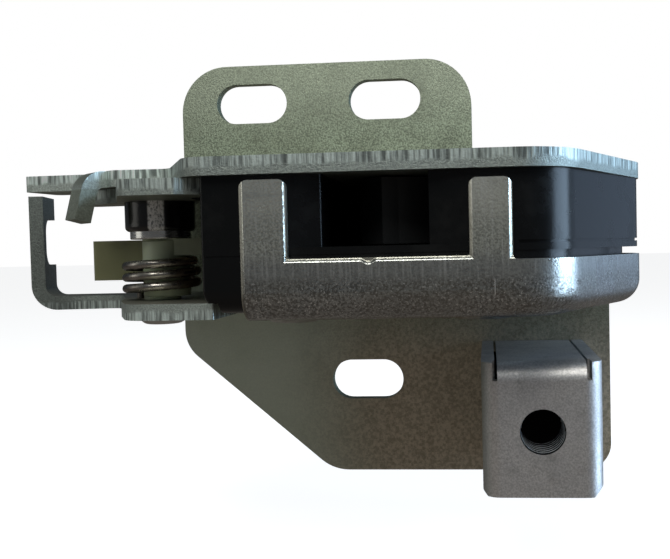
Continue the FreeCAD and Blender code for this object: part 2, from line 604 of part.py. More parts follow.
def claw_parts():
    """The steel claw and the quiet plastic jacket moulded round its fork."""
    full = claw_outline()
    lining = size("claw_lining")
    jaws = face_of(rounded([(-40, -40, 0), (7.0, -40, 0), (5.0, -9.0, 0), (-7.5, -6, 0), (-7.5, 5.5, 0), (-40, 13.0, 0)]))
    thin = full.makeOffset2D(-lining)
    core_face = joined([thin, full.cut(jaws)])
    middle = CLAW_MIDDLE
    low = middle - size("claw_sheet") / 2
    high = middle + size("claw_sheet") / 2
    bore = Part.makeCylinder(size("claw_pin_radius") + size("pin_play"), 60, Vector(0, 0, -60))
    core_face.translate(Vector(0, 0, low))
    core = core_face.extrude(Vector(0, 0, high - low)).cut(bore)
    skin = full.common(jaws)
    skin.translate(Vector(0, 0, FLOOR + 0.3))
    jacket = skin.extrude(Vector(0, 0, HOUSING_TOP - 0.35 - FLOOR - 0.3)).cut(core)
    jacket = jacket.cut(Part.makeCylinder(9.5, 60, Vector(0, 0, -60)))
    turned = Placement(CLAW, Rotation(Vector(0, 0, 1), size("claw_open_now"))).toMatrix()
    for label, shape in (("claw", core), ("claw_jacket", jacket)):
        largest = sorted(shape.Solids, key=lambda solid: solid.Volume)[-1]
        plain(label, largest.removeSplitter().transformed(turned, True))


def pawl():
    """The pawl: nose just off the claw's rim, tail in the lever's way."""
    body = new_body("pawl")
    gap = size("claw_rim") + size("rim_gap")
    tip = CLAW + Vector(gap * math.cos(math.radians(133)), gap * math.sin(math.radians(133)), 0)
    tail = BODY_FRONT + size("pawl_tail_room")
    outline = rounded([
        (tip.x - 0.4, tip.y + 0.2, 0.8),
        (tip.x + 2.6, tip.y + 3.4, 1.0),
        (tip.x - 1.2, tip.y + 5.6, 2.0),
        (PAWL.x - 1.0, PAWL.y + 12.5, 6.0),
        (PAWL.x - size("pawl_hub"), PAWL.y + 1.0, 5.0),
        (PAWL.x - 8.4, tail + 10.6, 2.0),
        (PAWL.x - 8.9, tail, 1.2),
        (PAWL.x - 3.4, tail, 1.5),
        (PAWL.x - 1.6, PAWL.y - 7.5, 3.0),
        (PAWL.x + size("pawl_hub"), PAWL.y - 5.5, 4.5),
        (PAWL.x + 7.2, PAWL.y + 7.0, 3.0),
        (tip.x - 7.5, tip.y + 1.0, 6.0),
    ])
    drawing = new_sketch(body, "pawl_outline", "XY_Plane", outline, "-Sizes.floor_drop + 0.5")
    index = drawing.addGeometry(ring(PAWL, size("pawl_pin_radius") + size("pin_play"))[0], False)
    mark = drawing.addConstraint(Sketcher.Constraint("Radius", index, size("pawl_pin_radius") + size("pin_play")))
    drawing.setExpression("Constraints[%d]" % mark, "Sizes.pawl_pin_radius + Sizes.pin_play")
    pad(body, "pawl_plate", drawing, "Sizes.floor_drop - Sizes.frame_top_drop - Sizes.frame_sheet - 1.0")
    return body


def lever_bore(drawing, play=True):
    """The lever pin's hole, with running play or without."""
    words = "Sizes.lever_pin_radius + Sizes.pin_play" if play else "Sizes.lever_pin_radius"
    radius = size("lever_pin_radius") + (size("pin_play") if play else 0.0)
    index = drawing.addGeometry(ring(LEVER, radius)[0], False)
    mark = drawing.addConstraint(Sketcher.Constraint("Radius", index, radius))
    drawing.setExpression("Constraints[%d]" % mark, words)


def release_lever():
    """The steel lever under the frame plate: a rounded arm to the left, a tongue to the front."""
    body = new_body("release_lever")
    pivot = LEVER
    outline = rounded([
        (pivot.x + 1.2, BODY_FRONT + 1.2, 2.0),
        (pivot.x + 11.2, BODY_FRONT + 1.2, 0.8),
        (pivot.x + 14.0, BODY_FRONT + 3.6, 0.4),
        (pivot.x + 17.0, BODY_FRONT + 5.2, 0.8),
        (pivot.x + 17.0, BODY_FRONT + 9.4, 0.8),
        (pivot.x + 10.0, BODY_FRONT + 13.0, 4.0),
        (pivot.x + 7.6, pivot.y + 6.5, 5.0),
        (pivot.x - 2.0, pivot.y + 9.6, 6.0),
        (pivot.x - 18.5, pivot.y + 11.4, 4.0),
        (pivot.x - 23.4, pivot.y + 5.2, 3.2),
        (pivot.x - 17.2, pivot.y + 4.4, 2.0),
        (pivot.x - 7.4, pivot.y - 3.2, 2.0),
        (pivot.x - 5.6, pivot.y - 8.0, 3.0),
    ])
    drawing = new_sketch(body, "lever_outline", "XY_Plane", outline,
                         "-Sizes.frame_top_drop - Sizes.frame_sheet - Sizes.lever_gap - Sizes.lever_sheet")
    lever_bore(drawing)
    pad(body, "lever_plate", drawing, "Sizes.lever_sheet")
    return body


def round_piece(label, radius_cell, height_cell, top):
    """A bush or washer on the lever pin."""
    body = new_body(label)
    drawing = new_sketch(body, label + "_outline", "XY_Plane", ring(LEVER, size(radius_cell)), top)
    lever_bore(drawing)
    solid = pad(body, label + "_pad", drawing, "Sizes." + height_cell, other_way=True)
    doc.recompute()
    low = min(edge.valueAt(edge.FirstParameter).z for edge in solid.Shape.Edges)
    edges = edges_where(solid, lambda edge, at: edge.Length > 6 * size(radius_cell) and at.z < low + 0.1)
    dress(body, "Fillet", label + "_edge", solid, edges, "Sizes.%s * 0.16" % height_cell)
    return body


def cable_lever():
    """The moulded lever that the release cable pulls: hub, arm to the left, short stop arm to the right."""
    body = new_body("cable_lever")
    top = ("-Sizes.frame_top_drop - Sizes.frame_sheet - Sizes.lever_gap - Sizes.lever_sheet"
           " - Sizes.bush_height - Sizes.washer_height")
    pivot = LEVER
    hub = size("cable_hub")
    tip = -size("cable_arm_reach")
    near = pivot.y + size("spring_radius") + size("spring_wire") / 2 + 0.35
    web = rounded([
        (tip + 3.0, near, 0.4),
        (pivot.x - hub + 1.6, near, 0.0),
        (pivot.x - hub + 1.6, pivot.y - hub, 0.6),
        (pivot.x + 12.6, pivot.y - hub, 2.0),
        (pivot.x + 12.6, pivot.y + hub, 2.0),
        (pivot.x + 7.5, near + 5.4, 2.0),
        (tip + 3.0, near + 5.4, 0.4),
    ])
    drawing = new_sketch(body, "web_outline", "XY_Plane", web, top)
    pad(body, "web", drawing, "Sizes.cable_web", other_way=True)
    drawing = new_sketch(body, "hub_outline", "XY_Plane", ring(pivot, hub), top)
    pad(body, "hub", drawing, "Sizes.body_bottom_drop - Sizes.bracket_sheet - Sizes.lever_gap - Sizes.frame_top_drop"
        " - Sizes.frame_sheet - Sizes.lever_gap - Sizes.lever_sheet - Sizes.bush_height - Sizes.washer_height",
        other_way=True)
    drawing = new_sketch(body, "arm_outline", "XY_Plane", rounded([
        (tip, near, 0.8), (pivot.x + 2.0, near, 1.0), (pivot.x + 2.0, near + 5.4, 1.0), (tip, near + 5.4, 0.8)]), top)
    pad(body, "arm", drawing, "Sizes.cable_arm_height", other_way=True)
    holes = new_sketch(body, "lever_pin_bore", "XY_Plane", [])
    lever_bore(holes)
    pocket(body, "bore", holes)
    # A drilled seat for the cable's end.
    seat = new_sketch(body, "cable_seat", "XY_Plane", ring((tip + 4.4, near + 2.7), 1.7))
    pocket(body, "cable_end_seat", seat)
    return body


def coil(centre, radius, wire, pitch, turns, start_angle, low, leg_in, leg_out, drop=0.0):
    """A wound torsion spring: rising helix with a straight leg at each end."""
    helix = Part.makeHelix(pitch, pitch * turns, radius)
    helix.rotate(Vector(0, 0, 0), Vector(0, 0, 1), start_angle)
    helix.translate(Vector(centre.x, centre.y, low))
    edges = helix.Edges
    first = edges[0]
    last = edges[-1]
    start = first.valueAt(first.FirstParameter)
    end = last.valueAt(last.LastParameter)
    start_way = first.tangentAt(first.FirstParameter).normalize()
    end_way = last.tangentAt(last.LastParameter).normalize()
    path = [Part.makeLine(start - start_way * leg_in, start)] + edges + [Part.makeLine(end, end + end_way * leg_out)]
    wire_path = Part.Wire(path)
    at = start - start_way * leg_in
    section = Part.Wire(Part.makeCircle(wire / 2, at, start_way))
    swept = Part.BRepOffsetAPI.MakePipeShell(wire_path)
    swept.setFrenetMode(False)
    swept.setTransitionMode(0)
    swept.add(section, False, False)
    swept.build()
    swept.makeSolid()
    solid = swept.shape()
    if drop > 0:
        hook = Part.makeCylinder(wire / 2, drop, at + Vector(0, 0, wire * 0.3), Vector(0, 0, -1))
        ball = Part.makeSphere(wire / 2 * 1.0001, at)
        solid = solid.fuse([hook, ball]).removeSplitter()
    return solid


def springs():
    """The return spring in view, and the claw's and pawl's springs in their wells."""
    wire = size("spring_wire")
    start = BRACKET_TOP + wire / 2 + 1.35
    shape = coil(LEVER, size("spring_radius"), wire, size("spring_pitch"), 2.42, 180.0, start, 6.0, 2.4, 3.4)
    plain("return_spring", shape)
    coil_wire = size("coil_wire")
    shape = coil(CLAW, size("coil_radius"), coil_wire, coil_wire * 1.08, 3.0, 20.0,
                 FLOOR - coil_wire * 4.3, 2.0, 2.0)
    plain("claw_spring", shape)
    small = size("small_wire")
    shape = coil(PAWL, size("small_coil"), small, small * 1.08, 3.0, 200.0, FLOOR - small * 4.3, 1.6, 1.6)
    plain("pawl_spring", shape)


def cable_bracket():
    """The lower bracket: it carries the lever pin and turns up into the cable's abutment."""
    body = new_body("cable_bracket")
    turn = math.radians(size("bracket_turn"))
    across = Vector(-math.sin(turn), math.cos(turn), 0)
    along = Vector(-math.cos(turn), -math.sin(turn), 0)
    near = Vector(-size("bracket_left"), -15.0, 0)
    bend_near = near - along * size("bracket_bend")
    bend_far = bend_near + across * size("bracket_width")
    outline = rounded([
        (-11.2, PLATE_FRONT, 0),
        (-11.2, BODY_FRONT + 8.0, 0.4),
        (-27.6, BODY_FRONT + 8.0, 6.0),
        (-33.4, -38.0, 6.0),
        (-36.9, -27.5, 5.0),
        (-44.0, bend_near.y + 2.6, 4.0),
        (bend_near.x, bend_near.y, 0),
        (bend_far.x, bend_far.y, 0),
        (-49.0, PLATE_FRONT - 0.6, 3.0),
        (-36.0, PLATE_FRONT - 0.4, 0),
        (-32.0, PLATE_FRONT, 0),
    ])
    drawing = new_sketch(body, "bracket_outline", "XY_Plane", outline, "-Sizes.body_bottom_drop")
    round_hole(drawing, LEVER, "lever_pin_radius")
    hook = (LEVER.x - size("spring_radius"), LEVER.y + 6.0)
    drawing.addGeometry(ring(hook, size("spring_wire") / 2 + 0.2)[0], False)
    pad(body, "bracket_plate", drawing, "Sizes.bracket_sheet")
    inner = size("bracket_bend")
    outer = inner + size("bracket_sheet")
    centre = BRACKET_TOP + inner
    top = FRAME_UNDER + 0.1
    arc = math.sqrt(0.5)
    profile = [
        Part.LineSegment(Vector(-1.0, BRACKET_UNDER, 0), Vector(0, BRACKET_UNDER, 0)),
        Part.Arc(Vector(0, BRACKET_UNDER, 0), Vector(outer * arc, centre - outer * arc, 0), Vector(outer, centre, 0)),
        Part.LineSegment(Vector(outer, centre, 0), Vector(outer, top, 0)),
        Part.LineSegment(Vector(outer, top, 0), Vector(inner, top, 0)),
        Part.LineSegment(Vector(inner, top, 0), Vector(inner, centre, 0)),
        Part.Arc(Vector(inner, centre, 0), Vector(inner * arc, centre - inner * arc, 0), Vector(0, BRACKET_TOP, 0)),
        Part.LineSegment(Vector(0, BRACKET_TOP, 0), Vector(-1.0, BRACKET_TOP, 0)),
        Part.LineSegment(Vector(-1.0, BRACKET_TOP, 0), Vector(-1.0, BRACKET_UNDER, 0)),
    ]
    angle = 180.0 + size("bracket_turn")
    turned = Placement(Vector(bend_near.x, 0, -bend_near.y), Rotation(Vector(0, 1, 0), angle))
    side = new_sketch(body, "upright_profile", "XZ_Plane", profile, turn=turned)
    pad(body, "upright", side, "Sizes.bracket_width")
    # The notch for the cable sleeve, cut from the far edge along the strip.
    high = -size("sleeve_notch_drop")
    low = high - size("sleeve_notch_height")
    width = size("bracket_width")
    deep = width - size("sleeve_notch_depth")
    notch = rounded([(deep, low, 3.2), (width + 6, low, 0), (width + 6, high, 0), (deep, high, 3.2)])
    facing = Placement(Vector(near.x, 0, -near.y), Rotation(Vector(0, 1, 0), 90.0 + size("bracket_turn")))
    cut = pocket(body, "sleeve_notch", new_sketch(body, "notch_outline", "XZ_Plane", notch, turn=facing),
                 "Sizes.bracket_sheet * 2 + 8", other_way=False)
    cut.SideType = "Symmetric"
    return body


def guide_bracket():
    """The folded box on the plate's lower right corner, closed on top by a tongue between its sides."""
    body = new_body("guide_bracket")
    left = size("box_left")
    right = left + size("box_width")
    front = -size("box_front")
    gauge = size("box_sheet")
    bend = size("box_bend")
    outer = [(left, PLATE_FRONT, 0), (left, front, bend), (right, front, bend), (right, PLATE_FRONT, 0)]
    inner = [(right - gauge, PLATE_FRONT, 0), (right - gauge, front + gauge, bend - gauge),
             (left + gauge, front + gauge, bend - gauge), (left + gauge, PLATE_FRONT, 0)]
    drawing = new_sketch(body, "box_plan", "XY_Plane", rounded(outer + inner), "-Sizes.box_bottom_drop")
    pad(body, "box_walls", drawing, "Sizes.box_bottom_drop - Sizes.box_top_drop")
    top = -size("box_top_drop")
    seam = 0.5
    inside_left = left + gauge + seam
    inside_right = right - gauge - seam
    # The front wall stops short at the top, where the tongue is folded back from it.
    relief = rectangle(left + gauge - 0.4, top - bend, right - gauge + 0.4, top + 3.0)
    cut = pocket(body, "tongue_relief", new_sketch(body, "relief_outline", "XZ_Plane", relief, "Sizes.box_front - Sizes.box_sheet - 2"),
                 "Sizes.box_sheet + 20", other_way=True)
    arc = math.sqrt(0.5)
    small = bend - gauge
    centre_y = front + bend
    centre_z = top - bend
    back = PLATE_FRONT - 0.3
    profile = [
        Part.LineSegment(Vector(front, centre_z, 0), Vector(front + gauge, centre_z, 0)),
        Part.Arc(Vector(front + gauge, centre_z, 0), Vector(centre_y - small * arc, centre_z + small * arc, 0),
                 Vector(centre_y, top - gauge, 0)),
        Part.LineSegment(Vector(centre_y, top - gauge, 0), Vector(back, top - gauge, 0)),
        Part.LineSegment(Vector(back, top - gauge, 0), Vector(back, top, 0)),
        Part.LineSegment(Vector(back, top, 0), Vector(centre_y, top, 0)),
        Part.Arc(Vector(centre_y, top, 0), Vector(centre_y - bend * arc, centre_z + bend * arc, 0),
                 Vector(front, centre_z, 0)),
    ]
    side = new_sketch(body, "tongue_profile", "YZ_Plane", profile, "Sizes.box_left + Sizes.box_sheet + %.2f" % seam)
    pad(body, "tongue", side, "Sizes.box_width - Sizes.box_sheet * 2 - %.2f" % (2 * seam))
    hole = new_sketch(body, "thread_hole", "XZ_Plane", [], "Sizes.box_front")
    round_hole(hole, (BOX_MIDDLE, -size("box_hole_drop")), "thread_radius")
    pocket(body, "thread_hole_cut", hole, "Sizes.box_sheet * 2")
    # Both lower corners are clipped.
    low = -size("box_bottom_drop")
    for name, x, way, clip in (("left_clip", left, 1, 0.9), ("right_clip", right, -1, 1.9)):
        corner = rounded([(x - way * 1.0, low - 1.0, 0), (x + way * clip, low - 1.0, 0), (x + way * clip, low, 0),
                          (x, low + clip, 0), (x - way * 1.0, low + clip, 0)])
        pocket(body, name, new_sketch(body, name + "_outline", "XZ_Plane", corner))
    return body


def weld_nut():
    """The nut welded behind the box's front wall."""
    body = new_body("weld_nut")
    radius = size("nut_flats") / 2 / math.cos(math.radians(30))
    corners = []
    for step in range(6):
        angle = math.radians(30 + 60 * step)
        corners.append((BOX_MIDDLE + radius * math.cos(angle), -size("box_hole_drop") + radius * math.sin(angle), 0))
    drawing = new_sketch(body, "nut_outline", "XZ_Plane", rounded(corners), "Sizes.box_front - Sizes.box_sheet")
    round_hole(drawing, (BOX_MIDDLE, -size("box_hole_drop")), "thread_radius")
    pad(body, "nut", drawing, "Sizes.nut_height", other_way=True)
    return body


def bump_stop():
    """The rubber post that the open claw comes to rest on."""
    post = doc.addObject("Part::Cylinder", "bump_stop")
    post.Label = "bump_stop"
    post.setExpression("Radius", "Sizes.stop_radius")
    post.setExpression("Height", "Sizes.floor_drop - Sizes.frame_top_drop - Sizes.frame_sheet - 0.3")
    post.Placement.Base = Vector(CLAW.x + 9.9, CLAW.y - 18.8, FLOOR)
    return post


mounting_plate()
frame_plate()
pressed_cover()
latch_housing()
claw_parts()
pawl()
release_lever()
round_piece("pivot_bush", "bush_radius", "bush_height",
            "-Sizes.frame_top_drop - Sizes.frame_sheet - Sizes.lever_gap - Sizes.lever_sheet")
round_piece("pivot_washer", "washer_radius", "washer_height",
            "-Sizes.frame_top_drop - Sizes.frame_sheet - Sizes.lever_gap - Sizes.lever_sheet - Sizes.bush_height")
cable_lever()
springs()
cable_bracket()
guide_bracket()
weld_nut()
bump_stop()
pin("claw_pin", CLAW, "claw_pin_radius", FRAME_TOP, COVER_UNDER)
pin("pawl_pin", PAWL, "pawl_pin_radius", FRAME_TOP, COVER_UNDER)
pin("lever_pin", LEVER, "lever_pin_radius", FRAME_TOP, BRACKET_UNDER, flush_top=True)

doc.recompute()
for item in doc.Objects:
    if "Invalid" in item.State or "Error" in item.State:
        raise RuntimeError("%s failed: %s" % (item.Label, item.State))

os.makedirs("parts", exist_ok=True)
for item in doc.Objects:
    whole = item.TypeId == "PartDesign::Body" or item.TypeId in ("Part::Feature", "Part::Cylinder")
    if not whole or item.getParentGeoFeatureGroup() is not None:
        continue
    shape = item.Shape
    if shape.isNull() or not shape.isValid():
        raise RuntimeError(item.Label + " has no valid shape")
    shape.exportStep("parts/%s.step" % item.Label)
    box = shape.BoundBox
    print("%-16s solids %d faces %3d volume %9.1f  X %6.1f..%6.1f  Y %6.1f..%6.1f  Z %6.1f..%6.1f" % (
        item.Label, len(shape.Solids), len(shape.Faces), shape.Volume,
        box.XMin, box.XMax, box.YMin, box.YMax, box.ZMin, box.ZMax))
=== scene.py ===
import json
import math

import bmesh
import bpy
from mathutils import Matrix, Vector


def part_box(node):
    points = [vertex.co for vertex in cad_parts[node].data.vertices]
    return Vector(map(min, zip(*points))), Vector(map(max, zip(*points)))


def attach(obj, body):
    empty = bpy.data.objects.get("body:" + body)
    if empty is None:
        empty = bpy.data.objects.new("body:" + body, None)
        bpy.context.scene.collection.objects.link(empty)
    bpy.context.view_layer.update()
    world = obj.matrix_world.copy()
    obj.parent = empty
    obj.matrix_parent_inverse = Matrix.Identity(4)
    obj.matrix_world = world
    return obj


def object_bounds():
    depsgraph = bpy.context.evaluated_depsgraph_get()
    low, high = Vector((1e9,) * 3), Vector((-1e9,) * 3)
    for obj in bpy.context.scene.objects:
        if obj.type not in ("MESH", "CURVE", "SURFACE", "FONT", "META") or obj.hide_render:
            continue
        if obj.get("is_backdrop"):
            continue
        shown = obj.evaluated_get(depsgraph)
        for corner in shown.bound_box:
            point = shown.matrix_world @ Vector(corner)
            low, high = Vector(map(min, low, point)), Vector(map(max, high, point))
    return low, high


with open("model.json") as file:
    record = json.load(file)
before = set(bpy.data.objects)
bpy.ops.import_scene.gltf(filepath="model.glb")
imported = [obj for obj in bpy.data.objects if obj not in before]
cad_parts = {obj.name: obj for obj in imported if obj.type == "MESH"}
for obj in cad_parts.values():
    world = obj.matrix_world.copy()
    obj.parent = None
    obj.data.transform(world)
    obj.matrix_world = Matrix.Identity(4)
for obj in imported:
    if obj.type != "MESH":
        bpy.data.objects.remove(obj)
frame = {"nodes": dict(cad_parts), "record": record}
cad_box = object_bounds()

# %% [markdown]
# # A van door lock, dressed over its measured parts
#
# The measured parts are already in the file, in metres: X runs to the right of the mouth, Y runs from the
# mouth to the panel, Z is up. They could be drawn again by eye, but then they would no longer fit. So this
# lesson leaves every part's shape alone, gives each the surface that the real lock shows, adds two small
# pieces, and sets floor, light and camera.

nodes = frame["nodes"]
bpy.ops.object.select_all(action="DESELECT")
for name in sorted(nodes):
    low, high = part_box(name)
    width, depth, height = [(b - a) * 1000 for a, b in zip(low, high)]
    print("%-16s %6.1f x %5.1f x %5.1f mm" % (name, width, depth, height))

# %% [markdown]
# # Places on a surface
#
# A pattern on steel or plastic has to know where on the part it lies and which way the surface faces. An
# unwrapped image could tell it, and needs seams. Object coordinates are used instead: they are the part's
# own metres, so a stain or a mark can be put at a measured place.

# %% Reading a place and a direction
class Places:
    """What a material can read of the part: its metres, and the way the surface faces."""

    def __init__(self, tree):
        self.tree = tree
        self.coordinates = tree.nodes.new("ShaderNodeTexCoord").outputs["Object"]

    def join(self, value, socket):
        if hasattr(value, "is_output"):
            self.tree.links.new(value, socket)
        else:
            socket.default_value = value

    def stretched(self, scale):
        node = self.tree.nodes.new("ShaderNodeMapping")
        node.inputs["Scale"].default_value = scale
        self.join(self.coordinates, node.inputs["Vector"])
        return node.outputs["Vector"]

    def axis(self, letter):
        node = self.tree.nodes.new("ShaderNodeSeparateXYZ")
        self.join(self.coordinates, node.inputs[0])
        return node.outputs[letter]

    def facing(self, letter):
        """How far the surface faces along one of the object's axes, from -1 to 1."""
        normal = self.tree.nodes.new("ShaderNodeTexCoord").outputs["Normal"]
        node = self.tree.nodes.new("ShaderNodeSeparateXYZ")
        self.join(normal, node.inputs[0])
        return node.outputs[letter]


print("places:", [word for word in vars(Places) if not word.startswith("_")])

# %% [markdown]
# # Noise and cells
#
# Plating clouds, sparkles and collects dirt without any order. It could be painted by hand, dab by dab.
# Noise gives the same look from a few numbers and never repeats. Its scale is in patterns per metre, so a
# scale of 2600 makes grains of about 0.4 millimetres.

# %% Two patterns
class Patterns(Places):
    """Noise for clouds and streaks, cells for the sheet's crystals."""

    def noise(self, scale, detail=2.0, roughness=0.5, stretch=None, distortion=0.0):
        node = self.tree.nodes.new("ShaderNodeTexNoise")
        node.inputs["Scale"].default_value = scale
        node.inputs["Detail"].default_value = detail
        node.inputs["Roughness"].default_value = roughness
        node.inputs["Distortion"].default_value = distortion
        self.join(self.stretched(stretch) if stretch else self.coordinates, node.inputs["Vector"])
        return node.outputs["Fac"]

    def cells(self, scale):
        node = self.tree.nodes.new("ShaderNodeTexVoronoi")
        node.inputs["Scale"].default_value = scale
        self.join(self.coordinates, node.inputs["Vector"])
        return node.outputs["Distance"]


print("patterns: noise, cells")

# %% [markdown]
# # Sums and mixtures
#
# A finish is layered: bare zinc, then a film, then a stain. Each layer is a mask between 0 and 1 that mixes
# two colours. The nodes could be added one by one in each material. Short methods do it here, so that a
# line of the script reads like a line of the recipe.

# %% Sums, mixtures and bumps
class Wiring(Patterns):
    """Arithmetic on masks, mixed colours, and a height turned into a bump."""

    def math(self, operation, first, second=0.0):
        node = self.tree.nodes.new("ShaderNodeMath")
        node.operation = operation
        self.join(first, node.inputs[0])
        self.join(second, node.inputs[1])
        return node.outputs[0]

    def between(self, value, low, high, out_low=0.0, out_high=1.0):
        """Maps low..high smoothly to out_low..out_high and holds the ends."""
        node = self.tree.nodes.new("ShaderNodeMapRange")
        node.interpolation_type = "SMOOTHSTEP"
        self.join(value, node.inputs["Value"])
        node.inputs["From Min"].default_value = low
        node.inputs["From Max"].default_value = high
        self.join(out_low, node.inputs["To Min"])
        self.join(out_high, node.inputs["To Max"])
        return node.outputs["Result"]

    def mix(self, factor, first, second, how="MIX"):
        node = self.tree.nodes.new("ShaderNodeMix")
        node.data_type = "RGBA"
        node.blend_type = how
        self.join(factor, node.inputs["Factor"])
        self.join(first, node.inputs[6])
        self.join(second, node.inputs[7])
        return node.outputs[2]

    def grey(self, value):
        node = self.tree.nodes.new("ShaderNodeCombineColor")
        for socket in node.inputs[:3]:
            self.join(value, socket)
        return node.outputs[0]

    def bump(self, height, strength, distance, normal=None):
        node = self.tree.nodes.new("ShaderNodeBump")
        self.join(strength, node.inputs["Strength"])
        node.inputs["Distance"].default_value = distance
        self.join(height, node.inputs["Height"])
        if normal is not None:
            self.join(normal, node.inputs["Normal"])
        return node.outputs["Normal"]


print("wiring: math, between, mix, grey, bump")

# %% [markdown]
# # The plated sheet as a node group
#
# Seven of the lock's parts are zinc-plated steel: clouded, with a fine sparkle, and grime in patches. Each
# could have its own nodes, but a change would then be made seven times. A node group is one machine with
# named sockets, placed in each material with that part's own colours. This helper makes an empty one.

# %% An empty group
def new_group(name, inputs, outputs):
    """An empty node group with its sockets, and helpers to fill it."""
    group = bpy.data.node_groups.new(name, "ShaderNodeTree")
    for label, kind, value in inputs:
        socket = group.interface.new_socket(name=label, in_out="INPUT", socket_type="NodeSocket" + kind)
        socket.default_value = value
    for label, kind in outputs:
        group.interface.new_socket(name=label, in_out="OUTPUT", socket_type="NodeSocket" + kind)
    start = group.nodes.new("NodeGroupInput")
    end = group.nodes.new("NodeGroupOutput")
    return group, start, end


print("helper: new_group")

# %% [markdown]
# # Clouds, sparkle and grime
#
# On the real plate large soft clouds lie under a fine sparkle, and oil has caught dust in patches. A
# photograph of zinc could be laid over the part, but it would stretch round the bends. Noises of different
# sizes do the same on any face, and two of them have a strength of their own as a socket.

# %% The plated sheet's group
def plated_group():
    """Clouded zinc with a sparkle, grime patches and small scratches."""
    group, start, end = new_group(
        "plated sheet",
        [("Light", "Color", (0.5, 0.5, 0.48, 1)), ("Dark", "Color", (0.25, 0.26, 0.24, 1)),
         ("Grime", "Float", 0.3), ("Sparkle", "Float", 0.5), ("Rough", "Float", 0.45)],
        [("Color", "Color"), ("Roughness", "Float"), ("Height", "Float")])
    w = Wiring(group)
    cloud = w.noise(70, 4, 0.62, distortion=0.4)
    cloud = w.between(cloud, 0.36, 0.66)
    fine = w.between(w.noise(2600, 2, 0.7), 0.34, 0.66)
    crystals = w.between(w.cells(1500), 0.05, 0.6)
    patches = w.between(w.noise(140, 5, 0.7), 0.52, 0.72)
    colour = w.mix(w.math("MULTIPLY", cloud, 0.55), start.outputs["Light"], start.outputs["Dark"])
    glint = w.math("MULTIPLY", w.math("SUBTRACT", fine, 0.5), start.outputs["Sparkle"])
    glint = w.math("ADD", 1.0, w.math("MULTIPLY", glint, 0.5))
    colour = w.mix(1.0, colour, w.grey(glint), "MULTIPLY")
    stain = w.math("MULTIPLY", patches, start.outputs["Grime"])
    colour = w.mix(stain, colour, (0.085, 0.080, 0.062, 1))
    scratches = w.between(w.noise(420, 3, 0.55, stretch=(0.25, 1.0, 1.6)), 0.60, 0.70)
    rough = w.math("ADD", start.outputs["Rough"], w.math("MULTIPLY", cloud, 0.10))
    rough = w.math("ADD", rough, w.math("MULTIPLY", stain, 0.12))
    rough = w.math("SUBTRACT", rough, w.math("MULTIPLY", scratches, 0.06))
    height = w.math("ADD", w.math("MULTIPLY", fine, 0.5), w.math("MULTIPLY", crystals, 0.5))
    w.join(colour, end.inputs["Color"])
    w.join(rough, end.inputs["Roughness"])
    w.join(height, end.inputs["Height"])
    return group


PLATED = plated_group()
print("node group:", PLATED.name, "with", len(PLATED.nodes), "nodes")

# %% [markdown]
# # The sheared edge as a node group
#
# Thick sheet is cut between two blades. The blade first rubs a smooth, streaked band and then tears the
# rest, which stays grainy. Modelling each streak would take thousands of faces. A group draws both zones
# from the height in the sheet, and gives a height for the bump.

# %% The sheared edge's group
def sheared_group():
    """The cut edge of thick sheet, from its level in the sheet and how far it is cut edge at all."""
    group, start, end = new_group(
        "sheared edge",
        [("Level", "Float", 0.5), ("Cut", "Float", 1.0), ("Tone", "Float", 1.0),
         ("Face", "Color", (0.5, 0.5, 0.5, 1))],
        [("Color", "Color"), ("Height", "Float")])
    w = Wiring(group)
    streaks = w.noise(1.0, 3, 0.6, stretch=(1500, 1500, 90))
    streaks = w.between(streaks, 0.32, 0.66)
    grain = w.between(w.noise(3200, 3, 0.7), 0.30, 0.70)
    wander = w.math("MULTIPLY", w.math("SUBTRACT", w.noise(260, 2, 0.5), 0.5), 0.8)
    zone = w.between(w.math("ADD", start.outputs["Level"], wander), 0.25, 0.60)
    smooth = w.mix(streaks, (0.11, 0.125, 0.12, 1), (0.47, 0.53, 0.51, 1))
    torn = w.mix(grain, (0.17, 0.19, 0.18, 1), (0.29, 0.325, 0.305, 1))
    cut = w.mix(1.0, w.mix(zone, torn, smooth), w.grey(start.outputs["Tone"]), "MULTIPLY")
    colour = w.mix(start.outputs["Cut"], start.outputs["Face"], cut)
    rib = w.mix(zone, grain, streaks)
    height = w.math("MULTIPLY", rib, start.outputs["Cut"])
    w.join(colour, end.inputs["Color"])
    w.join(height, end.inputs["Height"])
    return group


SHEARED = sheared_group()
print("node group:", SHEARED.name, "with", len(SHEARED.nodes), "nodes")

# %% [markdown]
# # A material to start from
#
# Every finish here is one Principled shader. Whether a thing is metal, and how rough it is, are plain
# numbers on the shader itself, and what changes over the surface is wired in. That is the simplest set-up
# that can still be baked for other programs.

# %% A material and a placed group
def material(name, metallic, roughness, specular=0.5):
    """A new material, its wiring and its shader."""
    made = bpy.data.materials.new(name)
    made.use_nodes = True
    shader = made.node_tree.nodes["Principled BSDF"]
    shader.inputs["Metallic"].default_value = metallic
    shader.inputs["Roughness"].default_value = roughness
    shader.inputs["Specular IOR Level"].default_value = specular
    return made, Wiring(made.node_tree), shader


def use_group(w, group, **values):
    node = w.tree.nodes.new("ShaderNodeGroup")
    node.node_tree = group
    for label, value in values.items():
        w.join(value, node.inputs[label])
    return node


materials = {}
print("helpers: material, use_group")

# %% [markdown]
# # Plated steel
#
# The seven plated parts differ in colour, dirt and in whether a cut edge shows. One function makes them
# all. It could be seven copied blocks, but then a better sparkle in one would be missing from six.

